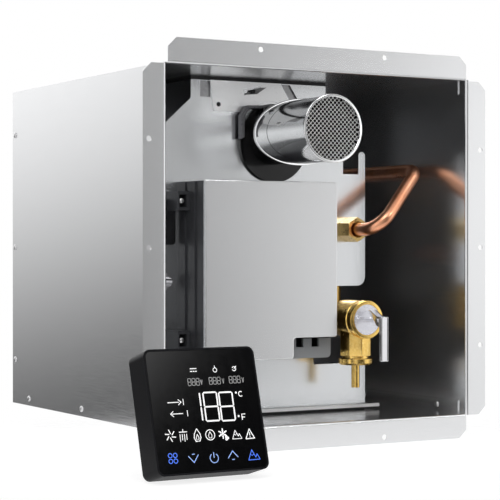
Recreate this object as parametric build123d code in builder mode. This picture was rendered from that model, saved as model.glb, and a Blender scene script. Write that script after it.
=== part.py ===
from build123d import *
import os
from math import cos, radians, sin

# Built-in tankless water heater: a folded steel case held by the flanges round its open front,
# the gas burner, heat exchanger, fan and valves inside it, and its separate wall controller.
# Millimetres. +X right and +Z up as seen from the front, +Y into the case.
# The origin is the centre of the flange holes, on the front face of the flanges.

# Case
case_w = 326
case_h = 322
case_d = 345
sheet = 1
flange_w = 22
bend_r = 1.5
lip_w = 12
flange_chamfer = 8
flange_hole_r = 2.5
flange_hole_in = 16
top_hole_pitch = 134
side_hole_pitch = 94
side_flange_drop = 1.3
flange_joint_gap = 1.6
rivet_r = 1.5
rivet_hole_r = 1.65
rivet_head_r = 3
rivet_head_h = 1.3
rivet_back_in = 7
rivet_low_in = 7
rivet_end_in = 45
rivet_front_in = 46
rivet_rear_in = 43
grommet_r = 7
grommet_bore = 3.5
grommet_lip_w = 2.5
grommet_lip_t = 3

# Front plate of the heater module, and the tray it stands on
wall_gap = 4
pipe_bay_w = 57.7
plate_setback = 88
plate_t = 1.2
seal_t = 3
seal_w = 8
tray_t = 1.2
tray_nose = 6
tray_past_plate = 13
tray_back_gap = 20
tray_lip = 2
housing_in = 69
shoulder = 2
corner_rise = 17.5
corner_slope = 0.905
step_in = 46.3
step_drop = 67
notch_drop = 18
tab_w = 7.7
tab_notch_w = 18.3
tab_rise = 4
corner_r = 9
valve_window_w = 60
valve_window_rise = 31
valve_window_drop = 45
plate_slot_w = 20
plate_slot_h = 42
plate_slot_rise = 34
plate_slot_out = 3
plate_slot_corner = 3
top_notch_in = 8
top_notch_w = 11
top_notch_h = 16
slit_in = 10
slit_w = 10
slit_lean = 10
slit_edge = 1
bracket_in = 18
bracket_lean = 4.5
bracket_drop = 29
bracket_reach = 18
bracket_nose = 6
bracket_shoulder = 9
bracket_step = 16
bracket_hole_r = 1.6
bracket_hole_in = 9
bracket_hole_drop = 22.5
louvre_w = 20
louvre_h = 5
louvre_in = 46
louvre_drop = 8
louvre_tilt = 14

# Housing round the exchanger and fan, and what stands in it
skin = 1
housing_d = 180
exchanger_gap = 18.5
exchanger_d = 112
burner_h = 100
shell_h = 73
fan_r = 46
fan_h = 55
fan_wall = 1.5
motor_h = 19
motor_r = 22
motor_gap = 2
motor_cap = 4
motor_chamfer = 2
shaft_r = 3
wheel_r = 38
wheel_gap = 4
shroud_t = 1.5
shroud_w = 9
blade_count = 24
blade_l = 8
blade_t = 1
blade_angle = 30
hub_r = 7
hub_h = 14
hood_throat = 32
fin_count = 18
fin_t = 0.6
fin_past_row = 14

# Flue
duct_w = 54
flue_in = 155.3
flue_r = 30
flue_wall = 1.2
flue_reach = 20
neck_gap = 0.4
neck_wall = 2
neck_flange_w = 60
neck_flange_t = 3
collar_r = 39
collar_t = 8
collar_drop = 7.5
mitre_run = 33
mitre_front = 37
neck_set = 10
duct_reach = 14
rim_bead = 1.2
rim_len = 2.6
arm_w = 5
arm_t = 6
arm_end_in = 6
arm_low = 7
screen_t = 0.8
screen_set = 4
screen_pitch = 3.05
screen_wire = 0.8

# Control box on the front plate
box_in = 55
box_right_in = 65
box_bottom = 52
box_flue_drop = 46
cover_d = 7
cover_wall = 2
box_face = 38
cover_corner_r = 3
notch_w = 48
notch_h = 19.5
base_inset = 0.8
step_out = 1.5
clip_w = 13
clip_h = 17.5
clip_d = 22
clip_end_in = 10
clip_floor = 6
hook_w = 5
base_floor = 2
board_back_gap = 8
board_t = 1.6
board_in = 6
board_post_r = 2.5
relay_count = 3
relay_pitch = 40
relay_h = 24
relay_d = 14

# Water side
tube_r = 6.35
tube_bore = 5.4
boss_r = 8
plug_r = 7
plug_in = 14
plug_head_r = 10
plug_head_t = 2
plug_flats = 15
plug_hex_h = 8
plug_socket_r = 4.5
tee_r = 11
tee_arm_r = 8
tee_front_r = 9.5
tee_half = 14
tee_branch = 16
coil_r = 5
coil_pitch = 24
coil_row_gap = 25
coil_row_in = 24.3
low_pass_count = 4
high_pass_count = 3
cold_in = 38
sensor_len = 44
sensor_r = 13
sensor_bore = 9
sensor_wall = 3
sensor_top_w = 18
sensor_top_h = 7
sensor_top_in = 8
axle_r = 1.2
turbine_hub_r = 3
turbine_in = 12
turbine_blades = 6
turbine_twist = 25
nut_in = 20.3
nut_flats = 21
nut_len = 18
nut_drop = 90
hot_reach = 55
hot_rise = 58.5
hot_lean = 27
hot_wall_gap = 15
hot_bend_r = 17
manifold_r = 12
manifold_in = 28.3
thread_r = 10.5
thread_len = 18
fitting_flats = 24
fitting_hex_t = 12
thread_neck = 0.5
water_tail = 22
hot_tail = 10

# Relief valve
relief_in = 36.6
relief_z_up = 87.2
valve_r = 18.4
valve_front = 58
valve_len = 45
spout_r = 15.5
spout_set = 20
spout_len = 35
foot_ring_r = 16.5
foot_ring_t = 7
drip_tube_r = 4
drip_tube_len = 22
drip_tube_wall = 1
drip_spigot = 9
drip_shoulder = 0.8
disc_r = 14.5
disc_t = 1.2
stem_r = 2.2
stem_out = 27
stem_travel = 3
pin_r = 1.2
lever_w = 8
lever_t = 1.2
lever_len = 38

# Gas side
gas_in = 38
gas_tail = 40
gas_up = 36
valve_w = 44
valve_d = 66
valve_h = 40
valve_foot_h = 12
valve_foot_r = 6
valve_foot_in = 8
valve_set = 18
valve_edge = 4
coil_in = 17
coil_can_r = 13
coil_can_h = 32
plunger_r = 5
plunger_h = 20
plunger_travel = 2
spring_wire = 0.8
spring_turns = 5
bar_count = 7
bar_mouth = 30
bar_w = 8
bar_h = 38
manifold_bar = 14
bar_wall = 2
jet_r = 0.6
nozzle_r = 2.5
ledge_w = 10
ledge_rise = 14
nozzle_rise = 10
spark_rise = 14
spark_pitch = 22
ceramic_r = 3
ceramic_out = 14
ceramic_in = 10
spark_wire_r = 1.2
spark_wire_out = 20
spark_wire_in = 30
gas_tube_r = 5

# Controller, a flat square unit that stands in front of the case
pad_w = 100
pad_t = 26
pad_corner = 6
pad_glass_t = 1.6
pad_bezel = 1.6
pad_wall = 2
pad_lean = 15.6
pad_turn = 0.4
pad_left = 245.8
pad_front = 148.2
display_side = 10
display_h = 52
display_up = 12

running_gap = 0.05
slip_gap = 0.3

# Planes and corners that follow from the case
left = -case_w / 2
right = case_w / 2
base = -case_h / 2
top = case_h / 2
in_left = left + sheet
in_right = right - sheet
in_base = base + sheet
in_top = top - sheet
in_back = case_d - sheet

os.makedirs("parts", exist_ok=True)


def save(piece, name):
    """Name a finished sub-part and write it."""
    piece.part.label = name
    export_step(piece.part, f"parts/{name}.step")


def front_plane(y):
    """A sketch plane at depth y, seen from the front: X to the right, Z up, normal to the viewer."""
    return Plane.XZ.offset(-y)


def block(x0, x1, y0, y1, z0, z1, mode=Mode.ADD):
    """A straight block between two corners, in the sub-part that is being built."""
    with Locations(((x0 + x1) / 2, (y0 + y1) / 2, (z0 + z1) / 2)):
        Box(x1 - x0, y1 - y0, z1 - z0, mode=mode)


def rod(start, end, r, mode=Mode.ADD):
    """A round bar from start to end, in the sub-part that is being built."""
    axis = Vector(end) - Vector(start)
    with Locations(Plane(origin=start, z_dir=axis)):
        Cylinder(r, axis.length, align=(Align.CENTER, Align.CENTER, Align.MIN), mode=mode)


def rod_back(x, z, front_y, back_y, r, mode=Mode.ADD):
    """A round bar that runs straight back, at one place seen from the front."""
    rod((x, front_y, z), (x, back_y, z), r, mode)


def hexagon(centre, depth, flats, mode=Mode.ADD):
    """A hexagonal bar along Y with its back face centred on centre, a corner to the right."""
    with BuildSketch(Plane(origin=centre, x_dir=(1, 0, 0), z_dir=(0, -1, 0))) as outline:
        RegularPolygon(flats / 2, 6, major_radius=False)
    extrude(outline.sketch, amount=depth, mode=mode)


# Case: sides, top, bottom and back
wall_rivets = [(case_d - rivet_back_in, z) for z in (base + rivet_end_in, 0, top - rivet_end_in)]
rivet_pitch = (case_d - rivet_front_in - rivet_rear_in) / 2
wall_rivets += [(rivet_front_in + n * rivet_pitch, base + rivet_low_in) for n in range(3)]

for name, side in (("case_left_side", -1), ("case_right_side", 1)):
    outer_x = side * case_w / 2
    inner_x = outer_x - side * sheet
    flange_x = outer_x + side * flange_w
    with BuildPart() as panel:
        with BuildSketch(Plane.XY.offset(base)) as section:
            with BuildLine():
                Polyline(
                    (outer_x, case_d), (inner_x, case_d), (inner_x, 0), (flange_x, 0),
                    (flange_x, sheet), (outer_x, sheet), (outer_x, case_d),
                )
            make_face()
            fillet(section.vertices().sort_by_distance((inner_x, 0))[0], bend_r + sheet)
            fillet(section.vertices().sort_by_distance((outer_x, sheet))[0], bend_r)
        extrude(amount=case_h)
        with BuildSketch(front_plane(0)) as outline:
            with BuildLine():
                Polyline(
                    (inner_x, base), (outer_x, base), (flange_x - side * flange_chamfer, base),
                    (flange_x, base + flange_chamfer), (flange_x, top - side_flange_drop - flange_chamfer),
                    (flange_x - side * flange_chamfer, top - side_flange_drop),
                    (outer_x + side * flange_joint_gap, top - side_flange_drop),
                    (outer_x + side * flange_joint_gap, top), (inner_x, top), (inner_x, base),
                )
            make_face()
            with Locations([(outer_x + side * flange_hole_in, n * side_hole_pitch) for n in (-1, 0, 1)]):
                Circle(flange_hole_r, mode=Mode.SUBTRACT)
        extrude(amount=-case_d, mode=Mode.INTERSECT)
        for y, z in wall_rivets:
            rod((inner_x - side, y, z), (outer_x + side, y, z), rivet_hole_r, mode=Mode.SUBTRACT)
    save(panel, name)

for name, side in (("case_bottom", -1), ("case_top", 1)):
    outer_z = side * case_h / 2
    inner_z = outer_z - side * sheet
    flange_z = outer_z + side * flange_w
    lip_z = inner_z - side * lip_w
    with BuildPart() as panel:
        with BuildSketch(Plane.YZ.offset(in_left)) as section:
            with BuildLine():
                Polyline(
                    (case_d, outer_z), (case_d, inner_z), (0, inner_z), (0, flange_z),
                    (sheet, flange_z), (sheet, outer_z), (case_d, outer_z),
                )
            make_face()
            fillet(section.vertices().sort_by_distance((0, inner_z))[0], bend_r + sheet)
            fillet(section.vertices().sort_by_distance((sheet, outer_z))[0], bend_r)
        extrude(amount=in_right - in_left)
        with BuildSketch(front_plane(0)) as outline:
            with BuildLine():
                Polyline(
                    (in_left, inner_z), (in_left, outer_z), (in_left + flange_joint_gap, outer_z),
                    (in_left + flange_joint_gap, flange_z - side * flange_chamfer),
                    (in_left + flange_joint_gap + flange_chamfer, flange_z),
                    (in_right - flange_chamfer, flange_z), (in_right, flange_z - side * flange_chamfer),
                    (in_right, inner_z), (in_left, inner_z),
                )
            make_face()
            with Locations([(n * top_hole_pitch / 2, outer_z + side * flange_hole_in) for n in (-1, 1)]):
                Circle(flange_hole_r, mode=Mode.SUBTRACT)
        extrude(amount=-case_d, mode=Mode.INTERSECT)
        lip_end = in_back - lip_w - 2 * sheet
        for lip_x in (in_left, in_right - sheet):
            block(lip_x, lip_x + sheet, lip_w, lip_end, min(lip_z, inner_z), max(lip_z, inner_z))
        if side < 0:
            for y, z in wall_rivets[3:]:
                rod((in_left - sheet, y, z), (in_right + sheet, y, z), rivet_hole_r, mode=Mode.SUBTRACT)
    save(panel, name)

# Places that pieces share: the plate, the housing behind it, the pipes and the valves
tray_bottom = in_base + seal_t
tray_top = tray_bottom + tray_t
plate_left = in_left + wall_gap
plate_right = right - pipe_bay_w - sheet
plate_back = plate_setback + plate_t
plate_top = in_top - seal_t
housing_left = plate_left + housing_in
housing_right = plate_right - step_in
housing_back = plate_back + housing_d
housing_mid_y = plate_back + housing_d / 2
exchanger_left = housing_left + skin + exchanger_gap
exchanger_right = housing_right - skin - exchanger_gap
exchanger_front = housing_mid_y - exchanger_d / 2
exchanger_back = housing_mid_y + exchanger_d / 2
exchanger_mid = (exchanger_left + exchanger_right) / 2
burner_top = tray_top + burner_h
shell_top = burner_top + shell_h
fan_top = plate_top - skin - motor_gap - motor_h
fan_bottom = fan_top - fan_h
flue_x = plate_left + flue_in
flue_z = (fan_top + fan_bottom) / 2
fan_x = flue_x - (fan_r - duct_w / 2)
fan_y = housing_mid_y
collar_x = flue_x
collar_z = flue_z - collar_drop
neck_r = flue_r - flue_wall - neck_gap
cold_x = plate_left + cold_in
low_row_z = burner_top + coil_row_in
high_row_z = low_row_z + coil_row_gap
first_pass_y = housing_mid_y + coil_pitch * (low_pass_count - 1) / 2
last_pass_y = first_pass_y - coil_pitch * (low_pass_count - high_pass_count)
manifold_x = plate_right - manifold_in
manifold_y = plate_back + manifold_r + 9
nut_x = plate_right - nut_in
nut_z = flue_z - nut_drop
hot_x = in_right - hot_wall_gap
hot_z = nut_z + hot_rise
relief_x = plate_right - relief_in
relief_z = tray_top + relief_z_up
gas_x = plate_left + gas_in
gas_z = tray_top + gas_up
box_left = plate_left + box_in
box_right = plate_right - box_right_in
box_low = tray_top + box_bottom
box_high = flue_z - box_flue_drop
box_front = box_face
cover_back = box_front + cover_d

with BuildPart() as case_back:
    with BuildSketch(front_plane(case_d)):
        with Locations(((in_left + in_right) / 2, (in_base + in_top) / 2)):
            Rectangle(in_right - in_left, in_top - in_base)
    extrude(amount=lip_w + sheet)
    block(
        in_left + sheet, in_right - sheet, in_back - lip_w - sheet, in_back,
        in_base + sheet, in_top - sheet, mode=Mode.SUBTRACT,
    )
    for x, z in ((cold_x, low_row_z), (hot_x, hot_z), (gas_x, gas_z)):
        rod_back(x, z, in_back - sheet, case_d + sheet, thread_r + slip_gap, mode=Mode.SUBTRACT)
    grommet_x = manifold_x
    grommet_z = gas_z
    rod_back(grommet_x, grommet_z, in_back - sheet, case_d + sheet, grommet_r + 2 * running_gap,
             mode=Mode.SUBTRACT)
    for y, z in wall_rivets[:3]:
        rod((in_left - sheet, y, z), (in_right + sheet, y, z), rivet_hole_r, mode=Mode.SUBTRACT)
save(case_back, "case_back")

with BuildPart() as case_rivets:
    for side in (-1, 1):
        wall_x = side * case_w / 2
        tail_x = wall_x - side * 2 * sheet
        for y, z in wall_rivets:
            rod((wall_x + side * rivet_head_h / 2, y, z), (tail_x - side * rivet_head_h / 2, y, z), rivet_r)
            for face_x, out in ((wall_x, side), (tail_x, -side)):
                with Locations(Plane(origin=(face_x, y, z), z_dir=(out, 0, 0))):
                    Cone(
                        rivet_head_r, rivet_r, rivet_head_h,
                        align=(Align.CENTER, Align.CENTER, Align.MIN),
                    )
save(case_rivets, "case_rivets")

with BuildPart() as cable_grommet:
    rod_back(grommet_x, grommet_z, in_back - grommet_lip_t, case_d + grommet_lip_t, grommet_r)
    for face_y, out in ((in_back, -1), (case_d, 1)):
        rod_back(grommet_x, grommet_z, face_y, face_y + out * grommet_lip_t, grommet_r + grommet_lip_w)
    rod_back(grommet_x, grommet_z, in_back - 2 * grommet_lip_t, case_d + 2 * grommet_lip_t, grommet_bore,
             mode=Mode.SUBTRACT)
save(cable_grommet, "cable_grommet")

# Module: seals, tray, front plate and the bracket across its top
with BuildPart() as chassis_seal:
    for x0, x1, y1, z0, z1 in (
        (plate_left, plate_right, in_back - tray_back_gap, in_base, tray_bottom),
        (housing_left - shoulder, housing_right, housing_back, plate_top, in_top),
    ):
        block(x0, x1, plate_setback, y1, z0, z1)
        block(x0 + seal_w, x1 - seal_w, plate_setback + seal_w, y1 - seal_w, z0, z1, mode=Mode.SUBTRACT)
save(chassis_seal, "chassis_seal")

with BuildPart() as chassis_base:
    tray_right = plate_right + tray_past_plate
    tray_front = plate_setback - tray_nose
    block(plate_left, tray_right, tray_front, in_back - tray_back_gap, tray_bottom, tray_top)
    block(plate_left, tray_right, tray_front, tray_front + tray_t, tray_top, tray_top + tray_lip)
save(chassis_base, "chassis_base")

with BuildPart() as chassis_front_plate:
    shoulder_x = housing_left - shoulder
    corner_z = plate_top - corner_rise
    slope_z = corner_z - (shoulder_x - plate_left) * corner_slope
    step_z = plate_top - step_drop
    tab_left = plate_right - tab_w
    tab_notch_left = tab_left - tab_notch_w
    tab_top = step_z + tab_rise
    tab_notch_z = step_z - notch_drop
    slit_x = flue_x + slit_in
    bracket_step_z = plate_top - bracket_step
    window_left = plate_right - valve_window_w
    window_low = relief_z - valve_window_drop
    window_high = relief_z + valve_window_rise
    with BuildSketch(front_plane(plate_back)) as outline:
        with BuildLine():
            Polyline(
                (shoulder_x, plate_top), (shoulder_x, corner_z), (plate_left, slope_z),
                (plate_left, tray_top), (plate_right, tray_top), (plate_right, window_low),
                (window_left, window_low), (window_left, window_high), (plate_right, window_high),
                (plate_right, tab_top), (tab_left, tab_top), (tab_left, tab_notch_z),
                (tab_notch_left, tab_notch_z), (tab_notch_left, step_z), (housing_right, step_z),
                (housing_right, plate_top), close=True,
            )
        make_face()
        fillet(outline.vertices().sort_by_distance((plate_right, window_high))[0], corner_r)
        for corner in ((plate_right, tab_top), (tab_left, tab_top)):
            fillet(outline.vertices().sort_by_distance(corner)[0], tab_w / 2 - 0.1)
        with Locations((flue_x, flue_z)):
            Circle(neck_r + slip_gap, mode=Mode.SUBTRACT)
        with Locations((nut_x, nut_z)):
            Circle(boss_r + slip_gap, mode=Mode.SUBTRACT)
        with Locations((cold_x, low_row_z)):
            Circle(plug_r + slip_gap, mode=Mode.SUBTRACT)
        with Locations((cold_x + plate_slot_out, low_row_z + plate_slot_rise + plate_slot_h / 2)):
            RectangleRounded(plate_slot_w, plate_slot_h, plate_slot_corner, mode=Mode.SUBTRACT)
        with Locations((housing_left + top_notch_in + top_notch_w / 2, plate_top)):
            Rectangle(top_notch_w, 2 * top_notch_h, mode=Mode.SUBTRACT)
        with BuildLine(mode=Mode.PRIVATE) as slit:
            Polyline(
                (slit_x, plate_top - slit_edge), (slit_x + slit_w, plate_top - slit_edge),
                (slit_x + slit_w + slit_lean, bracket_step_z), (slit_x + slit_lean, bracket_step_z),
                close=True,
            )
        make_face(slit.line, mode=Mode.SUBTRACT)
    extrude(amount=plate_t)
save(chassis_front_plate, "chassis_front_plate")

with BuildPart() as upper_bracket:
    bracket_left = housing_left + bracket_in
    bracket_right = flue_x + bracket_reach
    bracket_low = plate_top - bracket_drop
    with BuildSketch(front_plane(plate_setback)):
        with BuildLine():
            Polyline(
                (bracket_left, plate_top), (bracket_left + bracket_lean, bracket_low),
                (bracket_right - bracket_nose, bracket_low), (bracket_right, bracket_step_z),
                (bracket_right - bracket_shoulder, plate_top), close=True,
            )
        make_face()
        with Locations((collar_x, collar_z)):
            Circle(collar_r + slip_gap, mode=Mode.SUBTRACT)
        with Locations((bracket_left + bracket_hole_in, plate_top - bracket_hole_drop)):
            Circle(bracket_hole_r, mode=Mode.SUBTRACT)
        with Locations((bracket_left + louvre_in, plate_top - louvre_drop)):
            Rectangle(louvre_w, louvre_h, rotation=louvre_tilt, mode=Mode.SUBTRACT)
    extrude(amount=plate_t)
save(upper_bracket, "upper_bracket")

with BuildPart() as combustion_housing:
    block(housing_left, housing_right, plate_back, housing_back, burner_top, plate_top)
    block(
        housing_left + skin, housing_right - skin, plate_back, housing_back - skin,
        burner_top, plate_top - skin, mode=Mode.SUBTRACT,
    )
    for wall_x, y, z in (
        (housing_left + skin / 2, first_pass_y, low_row_z),
        (housing_right - skin / 2, last_pass_y, high_row_z),
    ):
        rod((wall_x - skin, y, z), (wall_x + skin, y, z), coil_r + slip_gap, mode=Mode.SUBTRACT)
save(combustion_housing, "combustion_housing")

# Burner: a sheet box on the tray, bars across it, and the gas bar with a nozzle for each
bar_pitch = (exchanger_right - exchanger_left - 2 * skin) / bar_count
bar_xs = [exchanger_left + skin + bar_pitch * (n + 0.5) for n in range(bar_count)]
ledge_z = tray_top + ledge_rise
nozzle_z = ledge_z + nozzle_rise
spark_z = ledge_z + bar_h + spark_rise
spark_xs = (exchanger_mid - spark_pitch, exchanger_mid, exchanger_mid + spark_pitch)
valve_front_y = exchanger_front + valve_set

with BuildPart() as burner_box:
    block(exchanger_left, exchanger_right, exchanger_front, exchanger_back, tray_top, burner_top)
    block(
        exchanger_left + skin, exchanger_right - skin, exchanger_front + skin, exchanger_back - skin,
        tray_top, burner_top, mode=Mode.SUBTRACT,
    )
    for y0, y1 in (
        (exchanger_front + skin, exchanger_front + skin + ledge_w),
        (exchanger_back - skin - ledge_w, exchanger_back - skin),
    ):
        block(exchanger_left + skin, exchanger_right - skin, y0, y1, ledge_z - 2 * skin, ledge_z)
    for x in bar_xs:
        rod_back(x, nozzle_z, exchanger_front - skin, exchanger_front + 2 * skin, nozzle_r + 1,
                 mode=Mode.SUBTRACT)
        block(
            x - bar_pitch / 4, x + bar_pitch / 4, exchanger_back - 2 * skin, exchanger_back + skin,
            nozzle_z - 4, nozzle_z + 12, mode=Mode.SUBTRACT,
        )
    for x in spark_xs:
        rod_back(x, spark_z, exchanger_front - skin, exchanger_front + 2 * skin, ceramic_r + slip_gap,
                 mode=Mode.SUBTRACT)
save(burner_box, "burner_box")

with BuildPart() as burner_bars:
    bar_front = exchanger_front + skin + 3
    bar_back = exchanger_back - skin - 3
    for x in bar_xs:
        with BuildSketch(front_plane(bar_back)) as section:
            with BuildLine():
                Polyline(
                    (x - bar_w / 2, ledge_z), (x + bar_w / 2, ledge_z), (x + bar_w / 2, ledge_z + 16),
                    (x + bar_w / 4, ledge_z + 24), (x + bar_w / 4, ledge_z + bar_h),
                    (x - bar_w / 4, ledge_z + bar_h), (x - bar_w / 4, ledge_z + 24),
                    (x - bar_w / 2, ledge_z + 16), close=True,
                )
            make_face()
        extrude(amount=bar_back - bar_front)
        block(x - 0.6, x + 0.6, bar_front + 4, bar_back - 4, ledge_z + bar_h - 8, ledge_z + bar_h + 1,
              mode=Mode.SUBTRACT)
        rod_back(x, nozzle_z, bar_front, bar_front + bar_mouth, nozzle_r + 0.5, mode=Mode.SUBTRACT)
save(burner_bars, "burner_bars")

half_bar = manifold_bar / 2
bar_y = exchanger_front - 8 - half_bar
with BuildPart() as gas_manifold:
    block(
        gas_x - half_bar, exchanger_right, bar_y - half_bar, bar_y + half_bar,
        nozzle_z - half_bar, nozzle_z + half_bar,
    )
    block(
        gas_x - half_bar + bar_wall, exchanger_right - bar_wall, bar_y - half_bar + bar_wall,
        bar_y + half_bar - bar_wall, nozzle_z - half_bar + bar_wall, nozzle_z + half_bar - bar_wall,
        mode=Mode.SUBTRACT,
    )
    for x in bar_xs:
        rod_back(x, nozzle_z, bar_y + half_bar - bar_wall, bar_front - slip_gap, nozzle_r)
        rod_back(x, nozzle_z, bar_y, bar_front, jet_r, mode=Mode.SUBTRACT)
    rod_back(gas_x, nozzle_z, bar_y + half_bar - bar_wall, valve_front_y, gas_tube_r)
    rod_back(gas_x, nozzle_z, bar_y, valve_front_y, gas_tube_r - 1, mode=Mode.SUBTRACT)
save(gas_manifold, "gas_manifold")

with BuildPart() as burner_electrodes:
    for x in spark_xs:
        rod_back(x, spark_z, exchanger_front - ceramic_out, exchanger_front + ceramic_in, ceramic_r)
        rod_back(x, spark_z, exchanger_front - ceramic_out / 3, exchanger_front, ceramic_r + 2)
        wire_front = exchanger_front - spark_wire_out
        rod_back(x, spark_z, wire_front, exchanger_front + spark_wire_in, spark_wire_r)
save(burner_electrodes, "burner_electrodes")

# Heat exchanger: a copper shell on the burner box, fins, and one coil through them
passes = []
for n in range(low_pass_count):
    passes.append((first_pass_y - n * coil_pitch, low_row_z))
for n in range(high_pass_count):
    passes.append((first_pass_y - (low_pass_count - 1 - n) * coil_pitch, high_row_z))
turn_left = exchanger_left - exchanger_gap + coil_r + 1.5
turn_right = exchanger_right + exchanger_gap - coil_r - 1.5
turn_r = coil_pitch / 2 - 0.3

with BuildPart() as heat_exchanger_shell:
    block(exchanger_left, exchanger_right, exchanger_front, exchanger_back, burner_top, shell_top)
    block(
        exchanger_left + skin, exchanger_right - skin, exchanger_front + skin, exchanger_back - skin,
        burner_top, shell_top, mode=Mode.SUBTRACT,
    )
    for y, z in passes:
        rod(
            (exchanger_left - skin, y, z), (exchanger_right + skin, y, z), coil_r + 2 * running_gap,
            mode=Mode.SUBTRACT,
        )
save(heat_exchanger_shell, "heat_exchanger_shell")

fin_pitch = (exchanger_right - exchanger_left - 2 * skin) / (fin_count + 1)
with BuildPart() as heat_exchanger_fins:
    for n in range(fin_count):
        x = exchanger_left + skin + fin_pitch * (n + 1)
        block(
            x - fin_t / 2, x + fin_t / 2, exchanger_front + skin + slip_gap,
            exchanger_back - skin - slip_gap, low_row_z - fin_past_row, high_row_z + fin_past_row,
        )
    for y, z in passes:
        rod((exchanger_left, y, z), (exchanger_right, y, z), coil_r + running_gap, mode=Mode.SUBTRACT)
save(heat_exchanger_fins, "heat_exchanger_fins")

with BuildPart() as heat_exchanger_coil:
    corners = [(cold_x + tee_branch, *passes[0])]
    for n, (here, after) in enumerate(zip(passes, passes[1:])):
        turn_x = turn_left if n % 2 else turn_right
        corners += [(turn_x, *here), (turn_x, *after)]
    corners += [(manifold_x, *passes[-1]), (manifold_x, manifold_y + manifold_r, passes[-1][1])]
    bends = [turn_r] * (len(corners) - 2)
    with BuildLine() as route:
        FilletPolyline(*corners, radius=bends)
    with BuildSketch(Plane(origin=route.line @ 0, z_dir=route.line % 0)):
        Circle(coil_r)
    sweep()
    coil_length = route.wire().length
    print(f"coil length {coil_length:.0f}, volume ratio "
          f"{heat_exchanger_coil.part.volume / (3.14159265 * coil_r ** 2 * coil_length):.4f}")
save(heat_exchanger_coil, "heat_exchanger_coil")

# Flue: hood, fan with its motor, black neck and collar, bright outlet pipe and its screen
with BuildPart() as flue_hood:
    for inset, mode in ((0, Mode.ADD), (skin, Mode.SUBTRACT)):
        with BuildSketch(Plane.XY.offset(shell_top)):
            with Locations((exchanger_mid, housing_mid_y)):
                Rectangle(exchanger_right - exchanger_left - 2 * inset, exchanger_d - 2 * inset)
        with BuildSketch(Plane.XY.offset(fan_bottom)):
            with Locations((fan_x, fan_y)):
                Circle(hood_throat - inset)
        loft(mode=mode)
save(flue_hood, "flue_hood")

duct_end = plate_back + duct_reach
with BuildPart() as fan_housing:
    for inset, z0, z1, mode in (
        (0, fan_bottom, fan_top, Mode.ADD),
        (fan_wall, fan_bottom + fan_wall, fan_top - fan_wall, Mode.SUBTRACT),
    ):
        with BuildSketch(Plane.XY.offset(z0)):
            with Locations((fan_x, fan_y)):
                Circle(fan_r - inset)
            mouth_y = duct_end - inset
            with Locations((flue_x, (mouth_y + fan_y) / 2)):
                Rectangle(duct_w - 2 * inset, fan_y - mouth_y)
        extrude(amount=z1 - z0, mode=mode)
    for z, r in ((fan_bottom, hood_throat - skin), (fan_top, shaft_r + 1)):
        rod((fan_x, fan_y, z - 2 * fan_wall), (fan_x, fan_y, z + 2 * fan_wall), r, mode=Mode.SUBTRACT)
save(fan_housing, "fan_housing")

wheel_low = fan_bottom + fan_wall + wheel_gap
wheel_high = fan_top - fan_wall - wheel_gap
wheel_align = (Align.CENTER, Align.CENTER, Align.MIN)
with BuildPart() as fan_impeller:
    with Locations((fan_x, fan_y, wheel_high - shroud_t)):
        Cylinder(wheel_r, shroud_t, align=wheel_align)
    with Locations((fan_x, fan_y, wheel_low)):
        Cylinder(wheel_r, shroud_t, align=wheel_align)
        Cylinder(wheel_r - shroud_w, shroud_t, align=wheel_align, mode=Mode.SUBTRACT)
    with Locations((fan_x, fan_y, wheel_low + shroud_t / 3)):
        with PolarLocations(wheel_r - shroud_w / 2, blade_count):
            Box(
                blade_l, blade_t, wheel_high - wheel_low - shroud_t, rotation=(0, 0, blade_angle),
                align=wheel_align,
            )
    rod((fan_x, fan_y, wheel_high - hub_h), (fan_x, fan_y, wheel_high), hub_r)
    rod((fan_x, fan_y, wheel_high - hub_h), (fan_x, fan_y, fan_top + motor_h - motor_cap - 1), shaft_r)
save(fan_impeller, "fan_impeller")

with BuildPart() as fan_motor:
    rod((fan_x, fan_y, fan_top), (fan_x, fan_y, fan_top + motor_h), motor_r)
    chamfer(fan_motor.faces().sort_by(Axis.Z)[-1].edges(), motor_chamfer)
    rod(
        (fan_x, fan_y, fan_top), (fan_x, fan_y, fan_top + motor_h - motor_cap), shaft_r + running_gap,
        mode=Mode.SUBTRACT,
    )
save(fan_motor, "fan_motor")

mitre = Plane(origin=(flue_x, mitre_front, flue_z), z_dir=(mitre_run, flue_r, 0))
with BuildPart() as flue_neck:
    rod_back(flue_x, flue_z, duct_end, -flue_reach, neck_r)
    split(bisect_by=mitre.offset(-neck_set), keep=Keep.TOP)
    block(
        flue_x - neck_flange_w / 2, flue_x + neck_flange_w / 2, duct_end - neck_flange_t, duct_end,
        flue_z - neck_flange_w / 2, flue_z + neck_flange_w / 2,
    )
    rod_back(flue_x, flue_z, duct_end + 1, -flue_reach, neck_r - neck_wall, mode=Mode.SUBTRACT)
save(flue_neck, "flue_neck")

with BuildPart() as flue_collar:
    arm_left = collar_x - collar_r + sheet
    arm_top = collar_z + collar_r - sheet
    arm_cut = 2 * arm_w - sheet
    rod_back(collar_x, collar_z, plate_setback, plate_setback - collar_t, collar_r)
    with BuildSketch(front_plane(plate_setback - collar_t)):
        with BuildLine():
            Polyline(
                (collar_x - arm_end_in, arm_top), (arm_left + arm_cut, arm_top),
                (arm_left, arm_top - arm_cut),
                (arm_left, collar_z + arm_low), (arm_left + arm_w, collar_z + arm_low),
                (arm_left + arm_w, arm_top - arm_cut - arm_w / 3),
                (arm_left + arm_cut + arm_w / 3, arm_top - arm_w),
                (collar_x - arm_end_in, arm_top - arm_w), close=True,
            )
        make_face()
    extrude(amount=arm_t)
    rod_back(flue_x, flue_z, plate_setback + 1, plate_setback - collar_t - arm_t - 1,
             neck_r + 2 * running_gap, mode=Mode.SUBTRACT)
    block(
        collar_x - collar_r, collar_x + collar_r, plate_setback - collar_t - 1, plate_setback + 1,
        collar_z - collar_r - 1, box_high + slip_gap, mode=Mode.SUBTRACT,
    )
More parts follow.
